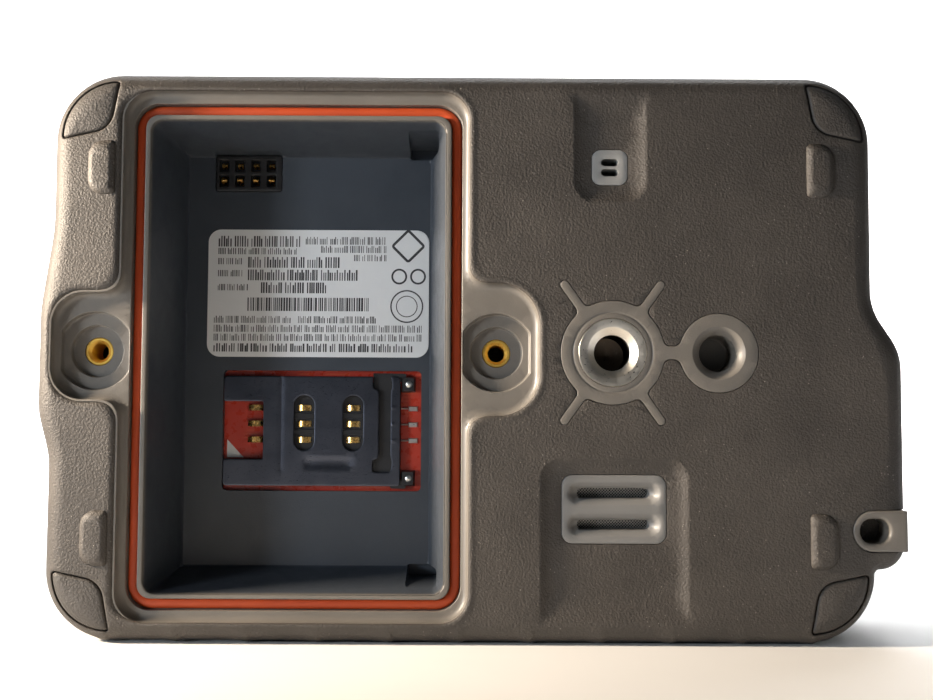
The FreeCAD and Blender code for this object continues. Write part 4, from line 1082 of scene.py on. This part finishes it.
def greeked(draw, x0, x1, top, tall, bold, words):
    """A line of wordless marks: short upright strokes gathered in groups of uneven length."""
    left, right = label_place(x0, 0)[0], label_place(x1, 0)[0]
    high = label_place(0, top)[1]
    low = label_place(0, top + tall)[1]
    stroke, pitch = (0.17, 0.36) if bold else (0.1, 0.27)
    marks, x = [], left
    while x < right - stroke:
        length = draw.randint(*words)
        for _ in range(length):
            if x > right - stroke:
                break
            short = draw.choice((0.0, 0.0, 0.25))
            marks.append((x, x + stroke * draw.uniform(0.8, 1.6), low, high - short * (high - low)))
            x += pitch * draw.uniform(0.8, 1.25)
        x += pitch * 0.9
    return marks


def rating_label():
    """White stock with wordless strokes, bars, rings and a diamond in place of print."""
    low, high = box_mm("rating_label")
    face = low[1]
    paper = box_field(low[0], high[0], low[2], high[2], 2.0)
    piece = relief("label_stock", region_of("rating_label"), [(paper, [0.0, -0.03, -0.4])], paper,
                   lambda x, z: face + 0.02 + edge_drop(-paper(x, z), 0.03),
                   level_at(high[1]), "paper", step=0.35, fill=2.0)
    mounted(piece, "rating_label")
    draw = random.Random(11)
    # left and right ends, top and height as shares of the label; bold or not; strokes to a word
    lines = [(0.045, 0.415, 0.05, 0.085, True, (5, 7)), (0.44, 0.81, 0.055, 0.06, False, (4, 9)),
             (0.045, 0.40, 0.145, 0.05, False, (2, 7)), (0.51, 0.81, 0.125, 0.055, False, (4, 9)),
             (0.045, 0.155, 0.225, 0.05, False, (4, 6)), (0.18, 0.60, 0.215, 0.085, True, (6, 12)),
             (0.66, 0.81, 0.195, 0.05, False, (2, 4)), (0.045, 0.155, 0.32, 0.05, False, (4, 6)),
             (0.18, 0.69, 0.315, 0.085, True, (14, 16)), (0.045, 0.18, 0.43, 0.05, False, (5, 7)),
             (0.24, 0.535, 0.415, 0.085, True, (8, 9)), (0.03, 0.38, 0.68, 0.055, False, (2, 9)),
             (0.41, 0.76, 0.68, 0.055, False, (3, 8)), (0.03, 0.97, 0.75, 0.055, False, (2, 8)),
             (0.03, 0.97, 0.82, 0.055, False, (2, 8)), (0.03, 0.93, 0.895, 0.065, True, (2, 9))]
    marks = []
    for line in lines:
        marks += greeked(draw, *line)
    x, end = label_place(0.18, 0)[0], label_place(0.725, 0)[0]
    top, foot = label_place(0, 0.535)[1], label_place(0, 0.64)[1]
    while x < end:
        wide = draw.choice((0.1, 0.1, 0.2, 0.3))
        marks.append((x, x + wide, foot, top))
        x += wide + draw.choice((0.12, 0.12, 0.22))
    piece = blocks("label_print", [(*m, face + 0.004, 0.03) for m in marks], "ink")
    mounted(piece, "rating_label", replaces=False)
    ink, under = face + 0.004, face + 0.03
    rings = [((0.865, 0.365), 1.25, 0.3), ((0.95, 0.365), 1.25, 0.3),
             ((0.9, 0.6), 2.6, 0.22), ((0.9, 0.6), 1.7, 0.14)]
    for index, (share, radius, line) in enumerate(rings):
        profile = [(radius, ink), (radius - line, ink), (radius - line, under), (radius, under)]
        ring = lathe(f"label_ring_{index}", label_place(*share), profile, "ink", 48)
        mounted(ring, "rating_label", replaces=False)
    x, z = label_place(0.905, 0.125)
    path = rounded_outline([(x - 2.5, z, 0.3), (x, z - 2.5, 0.3), (x + 2.5, z, 0.3), (x, z + 2.5, 0.3)], 0.15)
    section = [(-0.2, ink), (0.2, ink), (0.2, under), (-0.2, under)]
    mounted(sweep("label_diamond", path, section, "ink"), "rating_label", replaces=False)


def battery_connector():
    """A nylon block with two rows of wells and a sprung gold leaf bowed out of each."""
    low, high = connector_low, connector_high
    columns = [BAY[0] + v for v in (-13.7, -11.2, -8.7, -6.2)]
    rows = (69.8, 72.2)
    wells = union(*[centred_field(x, z, 1.5, 1.95, 0.2) for x in columns for z in rows])
    block = box_field(low[0], high[0], low[2], high[2], 0.3)
    lines = [(block, [0.0, -0.05, -0.2]), (wells, step_levels(0.1))]
    piece = relief("connector_block", region_of("battery_connector"), lines, block,
                   lambda x, z: carve(low[1] + edge_drop(-block(x, z), 0.2), wells(x, z), low[1] + 1.3, 0.1),
                   level_at(high[1]), "black", step=0.25, fill=0.8)
    mounted(piece, "battery_connector")
    parts = []
    face = box_mm("battery_contacts")[0][1]
    for x in columns:
        for row, z in enumerate(rows):
            deep = 0.05 if row == 0 else 0.55   # the upper row's leaves lie further in
            line = []
            for t in np.linspace(0, 1, 15):
                rise = math.sin(math.pi * min(1.0, t / 0.8)) ** 1.4
                line.append((face + deep + 1.15 * (1 - rise), z + 0.85 - 1.7 * t))
            parts.append(strip(line, 0.85, 0.16, x))
    mounted(solid_mesh("connector_leaves", *join_meshes(parts), "gold"), "battery_contacts")


def speaker_cloth():
    """Woven wire cloth behind the speaker slots, laid across the corner."""
    low, high = box_mm("speaker_mesh")
    level, pitch, wire = (low[1] + high[1]) / 2, 0.3, 0.05
    parts = []
    for slope in (1, -1):
        reach_x, reach_z = (high[0] - low[0]) / 2, (high[2] - low[2]) / 2
        count = int((reach_x + reach_z) / (pitch * math.sqrt(2))) + 1
        for k in range(-count, count + 1):
            start = k * pitch * math.sqrt(2)
            spots = []
            for t in np.arange(-reach_z, reach_z + 0.01, pitch / math.sqrt(2) / 2):
                x = start + slope * t
                if abs(x) < reach_x:
                    wave = math.cos(math.pi * (2 * t / (pitch * math.sqrt(2))) + math.pi * k)
                    spots.append((SPEAKER[0] + x, level + slope * 0.6 * wire * wave, SPEAKER[1] + t))
            if len(spots) > 2:
                parts.append(wire_run(spots, wire))
    mounted(solid_mesh("speaker_cloth", *join_meshes(parts), "mesh"), "speaker_mesh")


def wire_run(spots, radius):
    """Places and faces of a thin wire through the spots."""
    line = np.array(spots)
    along = np.gradient(line, axis=0)
    along /= np.linalg.norm(along, axis=1)[:, None]
    side = np.cross(along, (0, 1.0, 0))
    side /= np.linalg.norm(side, axis=1)[:, None]
    front = np.cross(side, along)
    places, sides = [], 4
    for spot, s, f in zip(line, side, front):
        for m in range(sides):
            turn = 2 * math.pi * (m + 0.5) / sides
            places.append(tuple(spot + radius * (math.cos(turn) * s + math.sin(turn) * f)))
    ends = [tuple(range(sides)), tuple(range((len(line) - 1) * sides, len(line) * sides))]
    return places, tube_faces(len(line), sides, False) + ends


SIM_BODY = "sim_lid"
READER_LOW, READER_HIGH = box_mm("sim_cover")
READER_LEFT, READER_RIGHT = READER_LOW[0], READER_HIGH[0]
READER_FACE = READER_LOW[1]
READER_FOOT = READER_FACE + 0.28     # under side of the sheet
READER_ROWS = [READER_HIGH[2] - v for v in (4.95, 7.45, 9.95)]
READER_MIDDLE = READER_ROWS[1]
READER_WINDOWS = [READER_LEFT + v for v in (12.6, 20.25)]
BONE_X = READER_LEFT + 25.2          # middle of the bone-shaped cut


def reader_cover():
    """The stamped cover with its notch, windows, pressed ridges and dimples."""
    left, right, middle = READER_LEFT, READER_RIGHT, READER_MIDDLE
    slots = union(*[centred_field(x, middle + 0.15, 3.2, 8.6, 1.5) for x in READER_WINDOWS])
    notch = box_field(left - 3, left + 6.2, middle - 5.5, middle + 3.5, 0.3)
    bone = union(centred_field(BONE_X, middle, 1.9, 13.4, 0.3),
                 centred_field(BONE_X - 0.45, middle + 6.5, 2.9, 2.0, 0.4),
                 centred_field(BONE_X - 0.45, middle - 6.5, 2.9, 2.0, 0.4), blend=0.7)
    plate = without(box_field(left, right, READER_LOW[2], READER_HIGH[2], 0.5), notch, slots, bone)
    pressed = union(centred_field(left + 16.4, middle - 6.1, 7.4, 1.6, 0.5),
                    centred_field(left + 9.0, middle, 0.5, 15.0, 0.2))
    dimples = union(*[disc_field(right - 1.2, middle + v, 0.3) for v in (-2.6, 0, 2.6)])

    def height(x, z):
        y = READER_FACE + edge_drop(-plate(x, z), 0.08)
        y = y + 0.06 * np.clip(-pressed(x, z) / 0.2, 0, 1)
        return y - 0.12 * np.clip(-dimples(x, z) / 0.25, 0, 1)

    lines = [(plate, [0.0, -0.03, -0.08, -0.3]), (pressed, [0.0, -0.2]), (dimples, [0.0, -0.25])]
    piece = relief("reader_cover", region_of("sim_cover"), lines, plate, height,
                   level_at(READER_FOOT + 0.1), "blued", step=0.25, fill=1.0)
    mounted(piece, "sim_cover", body=SIM_BODY)


def reader_tray():
    """The black moulding seen through the windows and the bone-shaped cut, with ribs between contacts."""
    middle, rib = READER_MIDDLE, 0.42
    trays = [(x - 1.85, x + 1.85, middle - 4.5, middle + 4.8, READER_FOOT + 0.5, 0.3) for x in READER_WINDOWS]
    trays.append((BONE_X - 1.9, BONE_X + 1.2, middle - 8.0, middle + 8.0, READER_FOOT + 0.45, 0.3))
    for x in READER_WINDOWS:
        for side in (-1.25, 1.25):
            z = middle + side
            trays.append((x - 1.8, x + 1.8, z - rib, z + rib, READER_FOOT + 0.22, 0.4))
    mounted(blocks("reader_tray", trays, "black", taper=0.06), "sim_socket_base", replaces=False)


def reader_contacts():
    """Nine bowed gold leaves: three in each window and three in the notch."""
    bow = [(READER_FOOT + 0.1 + 0.5 * t * t, t) for t in np.linspace(-1, 1, 13)]
    parts = []
    for x in READER_WINDOWS + [READER_LEFT + 4.9]:
        for z in READER_ROWS:
            places, faces = strip(bow, 0.9, 0.12, 0.0)
            parts.append(([(x + pz * 1.12, y, z + px) for px, y, pz in places], faces))
    mounted(solid_mesh("reader_contacts", *join_meshes(parts), "gold"), "sim_contacts")


def reader_end():
    """The hinge end: two black lugs with tinned pegs, and the solder joints between them."""
    right, board_face = READER_RIGHT, board_low[1]
    ends = (READER_LOW[2] + 1.2, READER_HIGH[2] - 1.2)
    lugs = [(right + 0.15, right + 2.35, z - 1.25, z + 1.25, READER_FOOT - 0.1, 0.9) for z in ends]
    joints = []
    for z in READER_ROWS:
        joints.append((right + 1.25, right + 2.75, z - 0.5, z + 0.35, board_face - 0.35, 0.4))
        joints.append((right + 0.1, right + 1.4, z - 0.2, z + 0.1, board_face - 0.5, 0.35))
    mounted(blocks("reader_lugs", lugs, "black", taper=0.25), "sim_socket_base", replaces=False)
    mounted(blocks("reader_joints", joints, "tin", taper=0.12), "sim_board", replaces=False)
    turned = [(0.55, 0.0), (0.5, -0.22), (0.36, -0.34), (0.01, -0.38), (0.01, 0.0)]
    profile = [(radius, READER_FOOT + deep) for radius, deep in turned]
    for index, z in enumerate(ends):
        peg = lathe(f"reader_peg_{index}", (right + 1.35, z), profile, "tin", 24)
        mounted(peg, "sim_socket_base", replaces=False)


def index_mark():
    """The white corner printed on the board in the notch."""
    left, middle, board_face = READER_LEFT, READER_MIDDLE, board_low[1]
    mark = ((left + 0.4, middle - 5.3), (left + 3.0, middle - 5.3), (left + 0.4, middle - 2.5))
    places = [(x, y, z) for y in (board_face - 0.02, board_face + 0.03) for x, z in mark]
    faces = [(0, 1, 2), (5, 4, 3), (0, 3, 4, 1), (1, 4, 5, 2), (2, 5, 3, 0)]
    mounted(solid_mesh("board_index_mark", places, faces, "paper"), "sim_board", replaces=False)


bay_seal()
inserts()
rating_label()
reader_cover()
reader_tray()
reader_contacts()
reader_end()
index_mark()
battery_connector()
speaker_cloth()
rubber_back()
bumpers()
housing_back()
lands_and_plates()
strap_tab()


# ---------------------------------------------------------------- studio

WORLD = 0.03                         # strength of the sky, then the watts of the lamps
KEY, FILL, BACK_LIGHT, NEAR_LIGHT = 0.28, 2.5, 60.0, 14.0
SENSOR, FOCAL, FRAME_WIDE = 36, 1225, 933    # mm, then pixels of the photograph's frame


def area_light(name, place, aim, size, power, colour, spread=180):
    """A rectangular lamp that points at a place; spread narrows its beam, in degrees."""
    lamp = bpy.data.lights.new(name, "AREA")
    lamp.shape = "RECTANGLE"
    lamp.size, lamp.size_y = size
    lamp.energy = power
    lamp.color = colour
    lamp.spread = math.radians(spread)
    thing = bpy.data.objects.new(name, lamp)
    thing.location = place
    thing.rotation_euler = (Vector(aim) - Vector(place)).to_track_quat("-Z", "Y").to_euler()
    bpy.context.scene.collection.objects.link(thing)


def camera():
    """A close view of the back, a little from below, as wide as the lens of a small camera."""
    eye = Vector((-0.0008, -0.1911, 0.0313))
    yaw, pitch, roll = (math.radians(a) for a in (0.09, 3.53, 0.29))
    forward = Vector((math.sin(yaw) * math.cos(pitch), math.cos(yaw) * math.cos(pitch), math.sin(pitch)))
    level = Vector((math.cos(yaw), -math.sin(yaw), 0))
    upright = level.cross(forward)
    right = math.cos(roll) * level + math.sin(roll) * upright
    up = -math.sin(roll) * level + math.cos(roll) * upright
    data = bpy.data.cameras.new("camera")
    data.sensor_width = SENSOR
    data.lens = SENSOR * FOCAL / FRAME_WIDE
    data.clip_start = 0.01
    thing = bpy.data.objects.new("camera", data)
    turn = Matrix((right, up, -forward)).transposed().to_4x4()
    thing.matrix_world = Matrix.Translation(eye) @ turn
    bpy.context.scene.collection.objects.link(thing)
    bpy.context.scene.camera = thing


def floor():
    """A white sweep: level under the part, rising in a wide curve a long way behind it."""
    wide, ground = 2.5, CAD_BOX[0][2]
    profile = [(-2.0, 0.0), (0.9, 0.0)]
    profile += [(0.9 + 0.7 * math.sin(a), 0.7 - 0.7 * math.cos(a)) for a in np.linspace(0.1, math.pi / 2, 12)]
    profile += [(1.6, 2.4)]
    places, faces = [], []
    for y, z in profile:
        places += [(-wide, y, ground + z), (wide, y, ground + z)]
    for k in range(len(profile) - 1):
        faces.append((2 * k, 2 * k + 1, 2 * k + 3, 2 * k + 2))
    mesh = bpy.data.meshes.new("floor")
    mesh.from_pydata(places, [], faces)
    for face in mesh.polygons:
        face.use_smooth = True
    thing = bpy.data.objects.new("floor", mesh)
    paint = Paint("floor", Roughness=0.9)
    paint.set("Base Color", paint.ramp(paint.noise(12, 4), (0.3, (0.86, 0.86, 0.86)), (0.7, (0.9, 0.9, 0.9))))
    mesh.materials.append(paint.material)
    bpy.context.scene.collection.objects.link(thing)


def studio():
    """A low warm key, a cool window and two lamps that keep the sweep white."""
    world = bpy.data.worlds.new("studio")
    bpy.context.scene.world = world
    world.use_nodes = True
    background = world.node_tree.nodes["Background"]
    background.inputs["Color"].default_value = (0.86, 0.93, 1.0, 1.0)
    background.inputs["Strength"].default_value = WORLD
    bpy.context.scene.view_settings.view_transform = "Standard"
    white, warm, cool = (1.0, 1.0, 1.0), (1.0, 0.84, 0.66), (0.84, 0.92, 1.0)
    area_light("warm key", (-0.2, -0.048, 0.088), (0.02, -0.013, 0.04), (0.03, 0.02), KEY, warm, 75)
    area_light("window", (-0.52, -0.38, 0.085), (0, 0, 0.04), (0.12, 0.12), FILL, cool)
    area_light("sweep light", (0, 0.5, 1.9), (0, 1.15, 0.1), (2.2, 0.4), BACK_LIGHT, white, 60)
    area_light("floor light", (0, 0.55, 0.8), (0, 0.5, 0), (1.6, 0.5), NEAR_LIGHT, white, 80)
    floor()
    camera()


studio()
